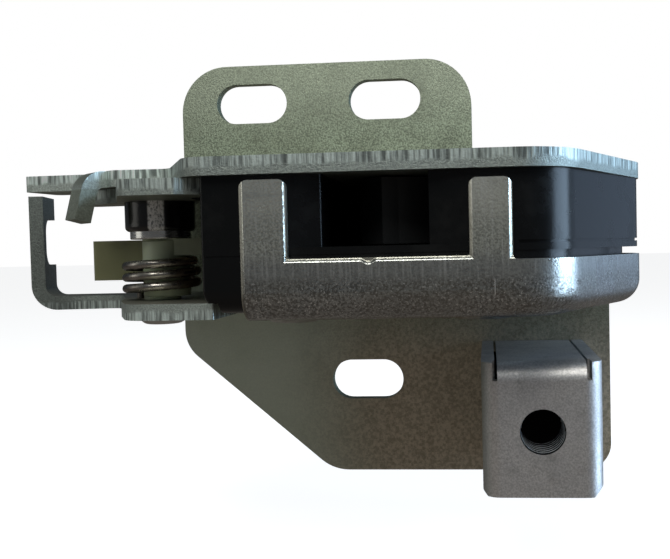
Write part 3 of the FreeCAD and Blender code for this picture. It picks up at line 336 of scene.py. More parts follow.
# %% Plated sheet, with or without a sheared edge
def zinc(name, light, dark, grime, sparkle, rough=0.45, edge=None, tone=None, bump=0.12, extra=None,
         roll=None, cut_from_below=False):
    """Plated steel; with edge = (axis letter, low, high) the faces along that axis look sheared."""
    made, w, shader = material(name, metallic=0.92, roughness=0.42)
    face = use_group(w, PLATED, Light=light, Dark=dark, Grime=grime, Sparkle=sparkle, Rough=rough)
    colour = face.outputs["Color"]
    surface = face.outputs["Roughness"]
    height = face.outputs["Height"]
    if edge is not None:
        letter, low, high = edge
        level = w.between(w.axis(letter), low, high)
        if cut_from_below:
            level = w.math("SUBTRACT", 0.8, level)
        square = w.math("ABSOLUTE", w.facing(letter))
        cut = w.between(square, 0.25, 0.6, 1.0, 0.0)
        band = w.math("GREATER_THAN", w.axis(letter), low - 0.0004)
        cut = w.math("MULTIPLY", cut, band)
        side = use_group(w, SHEARED, Level=level, Cut=cut, Face=colour)
        if tone is not None:
            w.join(tone(w), side.inputs["Tone"])
        colour = side.outputs["Color"]
        height = w.math("ADD", w.math("MULTIPLY", height, 0.4), side.outputs["Height"])
        surface = w.math("MAXIMUM", surface, w.math("MULTIPLY", cut, 0.55))
    if extra is not None:
        colour = extra(w, colour)
    grain = w.bump(height, bump, 0.00025)
    if roll is not None:
        face_part = roll(w)
        grain = w.bump(face_part, 0.9, 0.0005, grain)
        rolled = w.math("SUBTRACT", 1.0, face_part)
        surface = w.math("MAXIMUM", surface, w.math("MULTIPLY", rolled, 0.42))
        colour = w.mix(w.math("MULTIPLY", rolled, 0.8), colour, (0.40, 0.385, 0.32, 1))
    w.join(colour, shader.inputs["Base Color"])
    w.join(surface, shader.inputs["Roughness"])
    w.join(grain, shader.inputs["Normal"])
    return made


print("helper: zinc")

# %% [markdown]
# # The mounting plate
#
# The plate is dull greenish zinc. Painted light makes it paler at the top and at the lower left, a warm brown
# painted light lies below the lock body where its shadow falls, and painted shade makes it dark inside the
# folded box. A painted image would do it. Masks from the place on the plate do it too, stay sharp at any
# size, and leave the back alone.

# %% The plate's films
PLATE_FACE = -0.0028
PLATE_FOOT = (-0.062, -0.046)
BELOW_BODY = (-0.044, -0.036)
TOWARDS_RIGHT = (-0.020, 0.020)
TOWARDS_LEFT = (-0.014, 0.016)
UP_THE_TAB = (-0.010, 0.004)
BOX_X = 0.0477
BOX_Z = -0.0690
BOX_HALF_WIDTH = 0.0095
BOX_HALF_HEIGHT = 0.0110


def plate_painted_light(w, colour):
    """Painted light and shade on the plate's front alone: warm brown painted light below the body, painted
    light at the left and on the tab, painted shade inside the box.
    """
    low = w.between(w.axis("Z"), *PLATE_FOOT, 1.0, 0.35)
    right = w.between(w.axis("X"), *TOWARDS_RIGHT, 0.35, 1.0)
    below = w.between(w.axis("Z"), *BELOW_BODY, 1.0, 0.0)
    front = w.math("LESS_THAN", w.axis("Y"), PLATE_FACE)
    warm_light_amount = w.math("MULTIPLY", w.math("MULTIPLY", w.math("MULTIPLY", low, right), below), front)
    fleck = w.between(w.noise(1500, 3, 0.65), 0.36, 0.64)
    # Painted light: a warm brown, paler than the zinc, painted where the body's shadow falls on the plate.
    film = w.mix(fleck, (0.50, 0.42, 0.31, 1), (0.80, 0.69, 0.54, 1))
    colour = w.mix(w.math("MULTIPLY", warm_light_amount, 0.85), colour, film)
    low_front = w.math("MULTIPLY", below, front)
    # Painted light: the lower left of the plate's front is painted paler.
    left = w.math("MULTIPLY", w.between(w.axis("X"), *TOWARDS_LEFT, 1.0, 0.0), low_front)
    colour = w.mix(w.math("MULTIPLY", left, 0.8), colour, (0.80, 0.88, 0.74, 1))
    # Painted light: the tab at the top is painted paler.
    upper = w.math("MULTIPLY", w.between(w.axis("Z"), *UP_THE_TAB), front)
    colour = w.mix(w.math("MULTIPLY", upper, 0.35), colour, (0.55, 0.59, 0.48, 1))
    # Painted shade: inside the folded box the plate is painted nearly black.
    across = w.math("ABSOLUTE", w.math("SUBTRACT", w.axis("X"), BOX_X))
    upward = w.math("ABSOLUTE", w.math("SUBTRACT", w.axis("Z"), BOX_Z))
    within = w.math("LESS_THAN", across, BOX_HALF_WIDTH)
    painted_box_shade = w.math("MULTIPLY", within, w.math("LESS_THAN", upward, BOX_HALF_HEIGHT))
    return w.mix(w.math("MULTIPLY", painted_box_shade, front), colour, (0.004, 0.004, 0.004, 1))


materials["mounting_plate"] = zinc("plated plate", (0.36, 0.41, 0.31, 1), (0.22, 0.24, 0.18, 1),
                                   grime=0.40, sparkle=1.5, rough=0.52, extra=plate_painted_light)
print("finished:", materials["mounting_plate"].name)

# %% [markdown]
# # The frame plate
#
# This is the thickest sheet, and its long cut edge faces the viewer. The ear at the left catches more light
# than the edge over the mouth. A lamp for the ear alone could do that, and would spill on its neighbours.
# So the edge's colour is painted brighter at the ear and falls to the right by the place along X, as a
# painted light.

# %% The frame plate's finish
LIGHT = (0.42, 0.46, 0.40, 1)
DARK = (0.23, 0.25, 0.20, 1)
FRAME_SHEET = (-0.0208, -0.0176)
EAR_TO_FRONT = (-0.024, -0.010)


def frame_edge_painted_light(w):
    """Painted light: the ear's edge is painted brighter than the long front edge."""
    return w.between(w.axis("X"), *EAR_TO_FRONT, 2.1, 1.35)


materials["frame_plate"] = zinc("plated frame", LIGHT, DARK, grime=0.30, sparkle=0.6,
                                edge=("Z", *FRAME_SHEET), tone=frame_edge_painted_light, bump=0.25)
print("finished:", materials["frame_plate"].name)

# %% [markdown]
# # The pressed cover's rolled edges
#
# The cover is thin sheet, punched and drawn, and the punch rolls its edges over by less than a millimetre.
# A bevel on the part would round every edge alike. A mask that falls to 0 before the window and the tabs'
# sides bends the light only there.

# %% Where the punch rolled the cover's edges
SILL = -0.03535
NICK_X = 0.0182
TABS = ((-0.00375, 0.0043), (0.0352, 0.0424))
ROLL_WIDTH = 0.0007


def cover_roll(w):
    """1 on the cover's face, falling to 0 just before a punched edge."""
    x = w.axis("X")
    z = w.axis("Z")
    beside_nick = w.math("ABSOLUTE", w.math("SUBTRACT", x, NICK_X))
    nick = w.math("MULTIPLY", w.between(beside_nick, 0.0002, 0.0014, 1.0, 0.0), 0.0005)
    below_sill = w.math("SUBTRACT", w.math("SUBTRACT", SILL, nick), z)
    tabs = []
    for left, right in TABS:
        tabs.append(w.math("MINIMUM", w.math("SUBTRACT", x, left), w.math("SUBTRACT", right, x)))
    inside = w.math("MAXIMUM", below_sill, w.math("MAXIMUM", tabs[0], tabs[1]))
    inside = w.math("MINIMUM", inside, w.math("SUBTRACT", x, TABS[0][0]))
    return w.between(inside, 0.0, ROLL_WIDTH)


print("helper: cover_roll")

# %% [markdown]
# # The pressed cover's marks
#
# Drawing lines run down the front, the drawn edge below is peeled and glittering with an oily film on it, and
# there are a few pits and one scratch. Each could be cut into the mesh, but they are far shallower than they
# are wide, so colour alone carries them. Painted shade also darkens the front from the window's sill down,
# and painted light makes the upper front paler. The pits need a round mask first.

# %% A small round spot
def spot(w, x, z, radius):
    """1 inside a small round spot on a face that looks to the front, 0 outside."""
    across = w.math("SUBTRACT", w.axis("X"), x)
    upward = w.math("SUBTRACT", w.axis("Z"), z)
    square = w.math("ADD", w.math("MULTIPLY", across, across), w.math("MULTIPLY", upward, upward))
    return w.between(w.math("SQRT", square), radius * 0.4, radius, 1.0, 0.0)


print("helper: spot")

# %% [markdown]
# # The pressed cover's finish
#
# On the real cover the marks lie over one another: lines from the press below, oil over them, dirt in the
# pits last. They could be one painted picture. Here each mark is a mask that mixes one colour over what is
# there, in the order in which the real ones came, so each can be made weaker by one number. The painted shade
# low on the front and the painted light on its upper part are mixed in first.

# %% The cover's finish
PITS = ((0.0505, -0.0412, 0.0006), (0.0520, -0.0418, 0.0009), (0.0536, -0.0404, 0.0006))
SCRATCH_X = 0.0393
SCRATCH_FOOT = (-0.0422, -0.0418)
SCRATCH_HEAD = (-0.0396, -0.0391)
FLAT_FRONT = (-0.0405, -0.0375)
SILL_PAINTED_SHADE = (-0.0375, -0.0330)
UPPER_PAINTED_LIGHT = (-0.033, -0.024)


def cover_marks_and_painted_light(w, colour):
    """Painted shade from the sill down and painted light on the upper front, drawing lines down the cover's
    front, an oily film on the drawn edge, a few pits and one scratch.
    """
    lines = w.between(w.noise(1.0, 3, 0.6, stretch=(2200, 2200, 110)), 0.48, 0.68)
    flat = w.between(w.axis("Z"), *FLAT_FRONT)
    # Painted shade: the front is painted darker from the window's sill down.
    sill = w.between(w.axis("Z"), *SILL_PAINTED_SHADE, 1.0, 0.0)
    colour = w.mix(w.math("MULTIPLY", sill, 0.60), colour, (0.27, 0.28, 0.30, 1))
    # Painted light: the upper front and the tabs are painted paler.
    upper = w.between(w.axis("Z"), *UPPER_PAINTED_LIGHT)
    colour = w.mix(w.math("MULTIPLY", upper, 0.60), colour, (1.0, 1.0, 0.90, 1))
    colour = w.mix(w.math("MULTIPLY", w.math("MULTIPLY", lines, flat), 0.35), colour, (0.95, 0.97, 0.95, 1))
    peel = w.between(w.noise(2100, 2, 0.6), 0.44, 0.58)
    drawn = w.math("SUBTRACT", 1.0, flat)
    colour = w.mix(w.math("MULTIPLY", w.math("MULTIPLY", peel, drawn), 0.75), colour, (0.13, 0.125, 0.115, 1))
    glints = w.between(w.noise(2900, 2, 0.6), 0.58, 0.68)
    colour = w.mix(w.math("MULTIPLY", w.math("MULTIPLY", glints, drawn), 0.8), colour, (1.0, 1.0, 0.97, 1))
    film = w.math("MULTIPLY", drawn, w.between(w.noise(90, 4, 0.6), 0.35, 0.65))
    colour = w.mix(w.math("MULTIPLY", film, 0.35), colour, (0.27, 0.25, 0.21, 1))
    for x, z, radius in PITS:
        pit = w.math("MULTIPLY", spot(w, x, z, radius), w.between(w.noise(2500, 2, 0.6), 0.42, 0.56))
        colour = w.mix(w.math("MULTIPLY", pit, 0.9), colour, (0.05, 0.045, 0.04, 1))
    beside = w.math("ABSOLUTE", w.math("SUBTRACT", w.axis("X"), SCRATCH_X))
    foot = w.between(w.axis("Z"), *SCRATCH_FOOT)
    head = w.between(w.axis("Z"), *SCRATCH_HEAD, 1.0, 0.0)
    length = w.math("MULTIPLY", foot, head)
    scratch = w.math("MULTIPLY", w.between(beside, 0.00004, 0.00012, 1.0, 0.0), length)
    return w.mix(scratch, colour, (0.95, 0.96, 0.95, 1))


materials["pressed_cover"] = zinc("plated cover", (0.64, 0.66, 0.60, 1), (0.42, 0.43, 0.38, 1),
                                  grime=0.12, sparkle=1.3, rough=0.24, extra=cover_marks_and_painted_light,
                                  roll=cover_roll)
print("finished:", materials["pressed_cover"].name)

# %% [markdown]
# # The release lever and the cable bracket
#
# Both are sheared from thick sheet. The bracket was cut from below, so its smooth band lies low and its
# torn band high, the other way round from the lever. A second group could be made for it. The same one
# serves both, with its level turned over, so that their steel stays the same steel.

# %% The lever's and the bracket's finish
LEVER_SHEET = (-0.02405, -0.02105)
BRACKET_SHEET = (-0.0457, -0.0427)
UPRIGHT_TO_FOOT = (-0.058, -0.050)


def lever_tone(w):
    """The lever's edge is evenly bright."""
    return 1.45


def bracket_tone(w):
    """The upright's edge is duller than the edge of the flat foot."""
    return w.between(w.axis("X"), *UPRIGHT_TO_FOOT, 0.85, 1.75)


materials["release_lever"] = zinc("plated lever", LIGHT, DARK, grime=0.25, sparkle=0.6,
                                  edge=("Z", *LEVER_SHEET), tone=lever_tone, bump=0.25)
materials["cable_bracket"] = zinc("plated bracket", (0.34, 0.34, 0.29, 1), (0.20, 0.20, 0.16, 1),
                                  grime=0.35, sparkle=0.6, rough=0.48, edge=("Z", *BRACKET_SHEET),
                                  tone=bracket_tone, bump=0.25, cut_from_below=True)
print("finished:", [materials[part].name for part in ("release_lever", "cable_bracket")])

# %% [markdown]
# # The guide bracket and its thread
#
# The folded box has a round hole in its front, and a threaded nut behind it. Whatever belongs to the thread
# lies round one axis. That axis could be typed in again, but the lock's record already gives it, so it is
# read from there, and a mask can ask how far a point lies from it.

# %% The thread's axis
for mount in frame["record"]["mounts"]:
    if mount["name"] == "guide_thread":
        THREAD_X = mount["pos_m"][0]
        THREAD_Z = mount["pos_m"][2]
        THREAD_RADIUS = mount["dims"]["r_mm"] / 1000
BORE_REACH = 0.0046
THREAD_START_Y = -0.0413
PAINTED_BORE_SHADE = (0.012, 0.012, 0.014, 1)


def from_thread_axis(w):
    """How far a point lies from the axis of the guide bracket's thread."""
    across = w.math("SUBTRACT", w.axis("X"), THREAD_X)
    upward = w.math("SUBTRACT", w.axis("Z"), THREAD_Z)
    square = w.math("ADD", w.math("MULTIPLY", across, across), w.math("MULTIPLY", upward, upward))
    return w.math("SQRT", square)


print("thread axis: x %.4f, z %.4f, radius %.5f m" % (THREAD_X, THREAD_Z, THREAD_RADIUS))

# %% [markdown]
# # The guide bracket, its nut and the thread's steel
#
# The box is a little warmer than the plate. Its sides are painted darker than its front as painted shade, and
# its hole is painted nearly black as painted shade, apart from crests of thread painted bright as a painted
# highlight. A darker lamp set-up can't darken a hole this short without darkening the box too, so the finish
# itself is dark wherever a point lies close to the thread's axis.

# %% The box's and the nut's finish
BEHIND_FRONT_Y = -0.0418
CREST_RADII = (0.00405, 0.00413)


def bore_shade(w, colour):
    """Painted shade makes the bore nearly black."""
    bore = w.math("LESS_THAN", from_thread_axis(w), BORE_REACH)
    return w.mix(bore, colour, PAINTED_BORE_SHADE)


def box_painted_shade(w, colour):
    """Painted shade: the box's sides are painted darker than its front, and its hole is painted dark where
    the thread begins.
    """
    # Painted shade: faces that look to the right or to the left get darker tones than the front.
    right = w.between(w.facing("X"), 0.5, 0.9)
    left = w.between(w.facing("X"), -0.9, -0.3, 1.0, 0.0)
    colour = w.mix(w.math("MULTIPLY", right, 0.45), colour, (0.42, 0.41, 0.40, 1))
    colour = w.mix(w.math("MULTIPLY", left, 0.5), colour, (0.30, 0.37, 0.36, 1))
    sunk = w.math("GREATER_THAN", w.axis("Y"), BEHIND_FRONT_Y)
    bore = w.math("MULTIPLY", w.math("LESS_THAN", from_thread_axis(w), BORE_REACH), sunk)
    return w.mix(bore, colour, PAINTED_BORE_SHADE)


materials["guide_bracket"] = zinc("plated box", (0.70, 0.68, 0.67, 1), (0.46, 0.44, 0.44, 1),
                                  grime=0.30, sparkle=0.6, rough=0.46, extra=box_painted_shade)
materials["weld_nut"] = zinc("plated nut", (0.30, 0.30, 0.28, 1), (0.16, 0.16, 0.15, 1),
                             grime=0.3, sparkle=0.4, rough=0.35, extra=bore_shade)


def cut_thread():
    """Nearly black in the flanks as painted shade, with a painted highlight only along the crest."""
    made, w, shader = material("cut thread", metallic=0.6, roughness=0.3)
    # Painted highlight along the thread's crest, painted shade in its flanks.
    crest = w.between(from_thread_axis(w), *CREST_RADII, 1.0, 0.0)
    w.join(w.mix(crest, PAINTED_BORE_SHADE, (0.80, 0.86, 0.92, 1)), shader.inputs["Base Color"])
    return made


materials["thread"] = cut_thread()
print("finished:", [materials[part].name for part in ("guide_bracket", "weld_nut", "thread")])

# %% [markdown]
# # Pins, claw and bright ring
#
# These are turned or ground steel. Their fine lines run round the axis, because the tool did. An
# anisotropic shader could smear the highlight the same way, but it needs tangents. Noise that is stretched
# flat gives such lines on the part as it is.

# %% Turned steel
def plain_metal(name, light, dark, rough_low, rough_high):
    """Turned or drawn steel: fine lines and a little clouding."""
    made, w, shader = material(name, metallic=1.0, roughness=rough_low)
    cloud = w.between(w.noise(220, 3, 0.6), 0.35, 0.65)
    lines = w.noise(1.0, 2, 0.5, stretch=(300, 300, 5200))
    w.join(w.mix(cloud, light, dark), shader.inputs["Base Color"])
    w.join(w.between(lines, 0.3, 0.7, rough_low, rough_high), shader.inputs["Roughness"])
    w.join(w.bump(lines, 0.15, 0.0001), shader.inputs["Normal"])
    return made


materials["pin"] = plain_metal("rivet steel", (0.60, 0.60, 0.57, 1), (0.34, 0.34, 0.31, 1),
                               rough_low=0.30, rough_high=0.5)
materials["claw"] = plain_metal("claw steel", (0.50, 0.50, 0.49, 1), (0.30, 0.30, 0.29, 1),
                                rough_low=0.30, rough_high=0.45)
materials["pivot_washer"] = plain_metal("bright ring", (0.86, 0.86, 0.84, 1), (0.62, 0.62, 0.60, 1),
                                        rough_low=0.16, rough_high=0.3)
print("finished:", [materials[part].name for part in ("pin", "claw", "pivot_washer")])

# %% [markdown]
# # The springs' wire
#
# The wire is oiled and dark, and towards the right a coppery painted light lies on it. A warm lamp could give
# it, but the lamps serve the whole lock. The coils are modelled already, so only the colour changes, by the
# place along X.

# %% Spring wire
COPPERY_PAINTED_LIGHT = (-0.0235, -0.0190)
DULLED = (-0.0325, -0.0300)


def spring_steel():
    """Dark oiled wire, a little clouded, with a coppery painted light towards the right, and dull at the far
    left.
    """
    made, w, shader = material("spring wire", metallic=1.0, roughness=0.28)
    cloud = w.between(w.noise(420, 3, 0.6), 0.36, 0.66)
    painted_copper_light = w.between(w.axis("X"), *COPPERY_PAINTED_LIGHT)
    dull = w.between(w.axis("X"), *DULLED, 1.0, 0.0)
    colour = w.mix(cloud, (0.42, 0.395, 0.36, 1), (0.27, 0.25, 0.22, 1))
    # Painted light: a coppery tint towards the right stands in for a warm lamp.
    colour = w.mix(w.math("MULTIPLY", painted_copper_light, 0.6), colour, (0.46, 0.28, 0.17, 1))
    colour = w.mix(w.math("MULTIPLY", dull, 0.7), colour, (0.10, 0.09, 0.08, 1))
    w.join(colour, shader.inputs["Base Color"])
    w.join(w.between(cloud, 0.0, 1.0, 0.24, 0.36), shader.inputs["Roughness"])
    w.join(w.bump(cloud, 0.05, 0.0001), shader.inputs["Normal"])
    return made


materials["spring"] = spring_steel()
print("finished:", materials["spring"].name)

# %% [markdown]
# # Black mouldings and rubber
#
# Black plastic shows by its highlights alone. Painting highlights on would fail as soon as the view turns,
# so the sheen itself is set: a low roughness, a little spark grain from the mould, and dust that makes it
# rougher in patches.

# %% Moulded plastic
DUST = 0.15


def plastic(name, tone, worn, rough, grain_scale, grain, specular=0.5):
    """Moulded plastic: fine spark grain, with dust in patches that are paler and less glossy."""
    made, w, shader = material(name, metallic=0.0, roughness=rough, specular=specular)
    fine = w.noise(grain_scale, 2, 0.55)
    film = w.between(w.noise(95, 4, 0.65), 0.45, 0.75)
    colour = w.mix(w.math("MULTIPLY", film, DUST), tone, worn)
    w.join(colour, shader.inputs["Base Color"])
    w.join(w.between(film, 0.0, 1.0, rough, rough + 0.14), shader.inputs["Roughness"])
    w.join(w.bump(fine, grain, 0.0002), shader.inputs["Normal"])
    return made


materials["latch_housing"] = plastic("black moulding", (0.0035, 0.004, 0.0045, 1),
                                     (0.014, 0.014, 0.014, 1), rough=0.24, grain_scale=2400,
                                     grain=0.07, specular=0.3)
materials["claw_jacket"] = plastic("claw moulding", (0.009, 0.010, 0.011, 1), (0.03, 0.03, 0.03, 1),
                                   rough=0.36, grain_scale=2200, grain=0.10)
materials["bump_stop"] = plastic("stop rubber", (0.014, 0.014, 0.014, 1), (0.06, 0.06, 0.06, 1),
                                 rough=0.62, grain_scale=1800, grain=0.2)
print("finished:", [materials[part].name for part in ("latch_housing", "claw_jacket", "bump_stop")])

# %% [markdown]
# # The nylon lever
#
# Natural nylon lets a little light in. It could be a glassy material, but it is far too cloudy for that, so a
# small subsurface weight does it. The arm is oily and darker; round the pivot the hub is painted paler as a
# painted light, and its right side, which turns away from the light, is painted darker as painted shade.

# %% Olive nylon
ARM_TO_HUB = (-0.0320, -0.0300)
TURNING_AWAY = (-0.0270, -0.0185)


def olive_nylon():
    """Natural nylon, oily and darker along the arm, with painted light round the pivot and painted shade
    towards the right.
    """
    made, w, shader = material("olive nylon", metallic=0.0, roughness=0.40)
    # Painted light: the hub round the pivot is painted paler than the arm.
    near = w.between(w.axis("X"), *ARM_TO_HUB)
    tone = w.mix(near, (0.24, 0.245, 0.13, 1), (0.56, 0.63, 0.45, 1))
    # Painted shade: the hub's right side is painted darker.
    turned_away = w.between(w.axis("X"), *TURNING_AWAY)
    tone = w.mix(w.math("MULTIPLY", turned_away, 0.75), tone, (0.13, 0.135, 0.085, 1))
    film = w.between(w.noise(95, 4, 0.65), 0.45, 0.75)
    w.join(w.mix(w.math("MULTIPLY", film, 0.5), tone, (0.15, 0.145, 0.085, 1)), shader.inputs["Base Color"])
    w.join(w.bump(w.noise(900, 2, 0.55), 0.10, 0.0002), shader.inputs["Normal"])
    shader.inputs["Subsurface Weight"].default_value = 0.15
    shader.inputs["Subsurface Radius"].default_value = (0.002, 0.0018, 0.001)
    return made


materials["cable_lever"] = olive_nylon()
print("finished:", materials["cable_lever"].name)

# %% [markdown]
# # The bush
#
# The bush is glossy black, with one upright speckled band painted pale on its front as a painted highlight. A
# strip of mesh in front of it could be the band, but it would stand proud. The band is a range of angles
# round the lever's pin, so it is found with an arctangent from the pin's place, which the record gives.

# %% The bush's painted highlight
for joint in frame["record"]["behaviour"]["joints"]:
    if joint["name"] == "release_turn":
        PIN_X = joint["pos_m"][0]
        PIN_Y = joint["pos_m"][1]
HIGHLIGHT_BEGINS = (-0.03, 0.03)
HIGHLIGHT_ENDS = (0.42, 0.48)


def bush_painted_highlight():
    """The bush's glossy black moulding, with a speckled painted highlight band on its front."""
    made, w, shader = material("glossy moulding", metallic=0.0, roughness=0.2, specular=0.7)
    across = w.math("SUBTRACT", w.axis("X"), PIN_X)
    forward = w.math("SUBTRACT", PIN_Y, w.axis("Y"))
    angle = w.math("ARCTAN2", across, forward)
    # Painted highlight: a pale speckled band at the angles that face the front.
    band = w.math("MULTIPLY", w.between(angle, *HIGHLIGHT_BEGINS), w.between(angle, *HIGHLIGHT_ENDS, 1.0, 0.0))
    speckle = w.between(w.noise(1.0, 3, 0.7, stretch=(2600, 2600, 1500)), 0.32, 0.56)
    pale = w.mix(speckle, (0.14, 0.16, 0.17, 1), (1.0, 1.0, 1.0, 1))
    w.join(w.mix(band, (0.006, 0.006, 0.007, 1), pale), shader.inputs["Base Color"])
    w.join(w.bump(w.noise(2600, 2, 0.55), 0.12, 0.0002), shader.inputs["Normal"])
    return made


materials["pivot_bush"] = bush_painted_highlight()
print("finished:", materials["pivot_bush"].name, "- all:", len(materials), "materials")

# %% [markdown]
# # Dressing the measured parts
#
# Each part keeps its shape, and its material slot gets the finish made above. The finishes could be set by
# hand in 21 slots. A loop does it by name, and a short list says which parts share one.

# %% Finishes by name
FINISH = {
    "claw_pin": "pin", "pawl_pin": "pin", "lever_pin": "pin", "pawl": "claw",
    "return_spring": "spring", "claw_spring": "spring", "pawl_spring": "spring",
}
for name, part in nodes.items():
    finish = materials[FINISH.get(name, name)]
    if not part.material_slots:
        part.data.materials.append(finish)
    for place in part.material_slots:
        place.material = finish
print("dressed:", len(nodes), "parts")

# %% [markdown]
# # Soft edges
#
# No real edge is a razor: blanking, plating and moulding all round it, and the round catches a thin line of
# light. Rounding the mesh itself would change a measured part, so a Bevel modifier does it, as wide as that
# part's own edge.

# %% Bevels by name
SOFT_EDGE = {
    "mounting_plate": 0.0005, "frame_plate": 0.00035, "pressed_cover": 0.0002,
    "release_lever": 0.00035, "cable_bracket": 0.00035, "guide_bracket": 0.00035,
    "latch_housing": 0.0002, "cable_lever": 0.00035, "claw_jacket": 0.0003,
}
for name, width in SOFT_EDGE.items():
    bevel = nodes[name].modifiers.new("soft edge", "BEVEL")
    bevel.width = width
    bevel.segments = 2
    bevel.limit_method = "ANGLE"
    bevel.angle_limit = math.radians(38)
    bevel.harden_normals = True
print("soft edges:", len(SOFT_EDGE), "parts")

# %% [markdown]
# # Two small pieces to add
#
# The measured parts lack two things that show: the moulded barrel inside the coil spring, and the turns of
# thread in the bracket's hole. A new piece needs a few steps: only one object selected, its place put into
# its mesh, a name, a body to move with and a slot. Those could be written out twice. Two helpers hold them,
# so that both pieces are finished alike.

# %% Selecting one object, and finishing a piece
def alone(item):
    """Makes one object the only selected and the active one."""
    bpy.ops.object.select_all(action="DESELECT")
    item.select_set(True)
    bpy.context.view_layer.objects.active = item


def settle(item, name, finish, body):
    """Puts the piece's place into its mesh, smooths it, and hands it to its body and material slot."""
    alone(item)
    bpy.ops.object.transform_apply(location=True, rotation=True, scale=True)
    bpy.ops.object.shade_smooth_by_angle(angle=math.radians(35))
    item.name = name
    item.data.name = name
    item.data.materials.clear()
    item.data.materials.append(materials[finish])
    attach(item, body)
    sides = [round(1000 * side, 1) for side in item.dimensions]
    print("%-14s %d faces, %s mm" % (name, len(item.data.polygons), sides))


print("helpers: alone, settle")

# %% [markdown]
# # The nylon barrel inside the spring
#
# On the real lever the coil spring sits round a thick moulded barrel. It could be a lathe profile spun
# round an axis, but its sides are straight, so a cylinder of the right size and place is nearer already.
# Its end faces are picked by their normals and their rims bevelled, the small chamfer that lets a moulding
# leave its mould.

# %% The barrel
barrel_top = -0.0314
barrel_bottom = -0.0424
barrel_radius = 0.0046
beside_pin = 0.001
chamfer = 0.0003
bpy.ops.mesh.primitive_cylinder_add(vertices=64, radius=barrel_radius, depth=barrel_top - barrel_bottom,
                                    location=(PIN_X + beside_pin, PIN_Y, (barrel_top + barrel_bottom) / 2))
barrel = bpy.context.object
alone(barrel)
bpy.ops.object.mode_set(mode="EDIT")
bpy.ops.mesh.select_mode(type="FACE")
bpy.ops.mesh.select_all(action="DESELECT")
mesh = bmesh.from_edit_mesh(barrel.data)
for face in mesh.faces:
    face.select_set(abs(face.normal.z) > 0.9)
bmesh.update_edit_mesh(barrel.data)
bpy.ops.mesh.region_to_loop()
bpy.ops.mesh.bevel(offset=chamfer, segments=3)
bpy.ops.object.mode_set(mode="OBJECT")
settle(barrel, "lever_barrel", "cable_lever", "release_levers")

# %% [markdown]
# # The turns of thread
#
# Looking into the bracket's hole, bright turns of thread show at the lower right. A bump could fake them,
# but from the side the hole would still be smooth. A thread is one small ridge carried round and along an
# axis, so the ridge's three-sided profile comes first, with its point towards the axis.

# %% The ridge's profile
thread_pitch = 0.0015
thread_turns = 6
ridge_height = 0.00022
bpy.ops.mesh.primitive_circle_add(vertices=3, radius=0.0005, location=(0, 0, 0))
ridge = bpy.context.object
into_wall = 0.00004
ridge_root = THREAD_RADIUS + into_wall
half_width = 0.0004
corners = ((ridge_root, -half_width), (THREAD_RADIUS - ridge_height, 0.0), (ridge_root, half_width))
for corner, (out, along) in zip(ridge.data.vertices, corners):
    corner.co = (out, 0.0, along)
for out, along in corners:
    print("profile corner: %.3f mm out, %.2f mm along" % (1000 * out, 1000 * along))

# %% [markdown]
# # From ridge to thread
#
# A tap cuts each turn one pitch deeper than the last. Copying rings would give grooves that never climb,
# and spinning by hand takes many steps. The Screw modifier carries the profile round and along at once, is
# applied, and the two open ends are closed.

# %% Carrying the ridge round
steps_per_turn = 40
alone(ridge)
screw = ridge.modifiers.new("turns", "SCREW")
screw.axis = "Z"
screw.angle = 2 * math.pi * thread_turns
screw.screw_offset = thread_pitch * thread_turns
screw.steps = steps_per_turn * thread_turns
screw.render_steps = steps_per_turn * thread_turns
screw.use_normal_calculate = True
bpy.ops.object.modifier_apply(modifier="turns")
bpy.ops.object.mode_set(mode="EDIT")
bpy.ops.mesh.select_mode(type="EDGE")
bpy.ops.mesh.select_all(action="DESELECT")
bpy.ops.mesh.select_non_manifold()
bpy.ops.mesh.fill_holes(sides=3)
bpy.ops.mesh.select_all(action="SELECT")
bpy.ops.mesh.normals_make_consistent(inside=False)
bpy.ops.object.mode_set(mode="OBJECT")
ridge.rotation_euler = (math.radians(-90), 0, 0)
ridge.location = (THREAD_X, THREAD_START_Y, THREAD_Z)
settle(ridge, "nut_thread", "thread", "lock_body")

# %% [markdown]
# # The floor
#
# The photograph has no floor of its own, so a pale one lies just below the lock. A plain white plane would
# come out grey where the lamps are far off, so this one gives off light itself. It is hidden from the
# metal, which would mirror it.

# %% A pale floor
floor_gap = 0.012
bpy.ops.mesh.primitive_plane_add(size=6, location=(0, 1.5, cad_box[0][2] - floor_gap))
floor = bpy.context.object
floor.name = "floor"
ground, w, shader = material("pale floor", metallic=0.0, roughness=0.9)
w.join((0.6, 0.6, 0.6, 1), shader.inputs["Base Color"])
shader.inputs["Emission Color"].default_value = (1, 1, 1, 1)
shader.inputs["Emission Strength"].default_value = 0.86
floor.data.materials.append(ground)
floor.visible_glossy = False
floor.visible_diffuse = False
floor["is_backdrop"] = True
print("floor at z = %.4f m" % floor.location.z)

# %% [markdown]
# # The room that the metal mirrors
#
# Plated metal shows its surroundings. The page behind is white to the eye, while the room that the metal
# mirrors is dim: bluish above, brown below. An HDR image would do, but needs a file, so a gradient over the
# height does it.

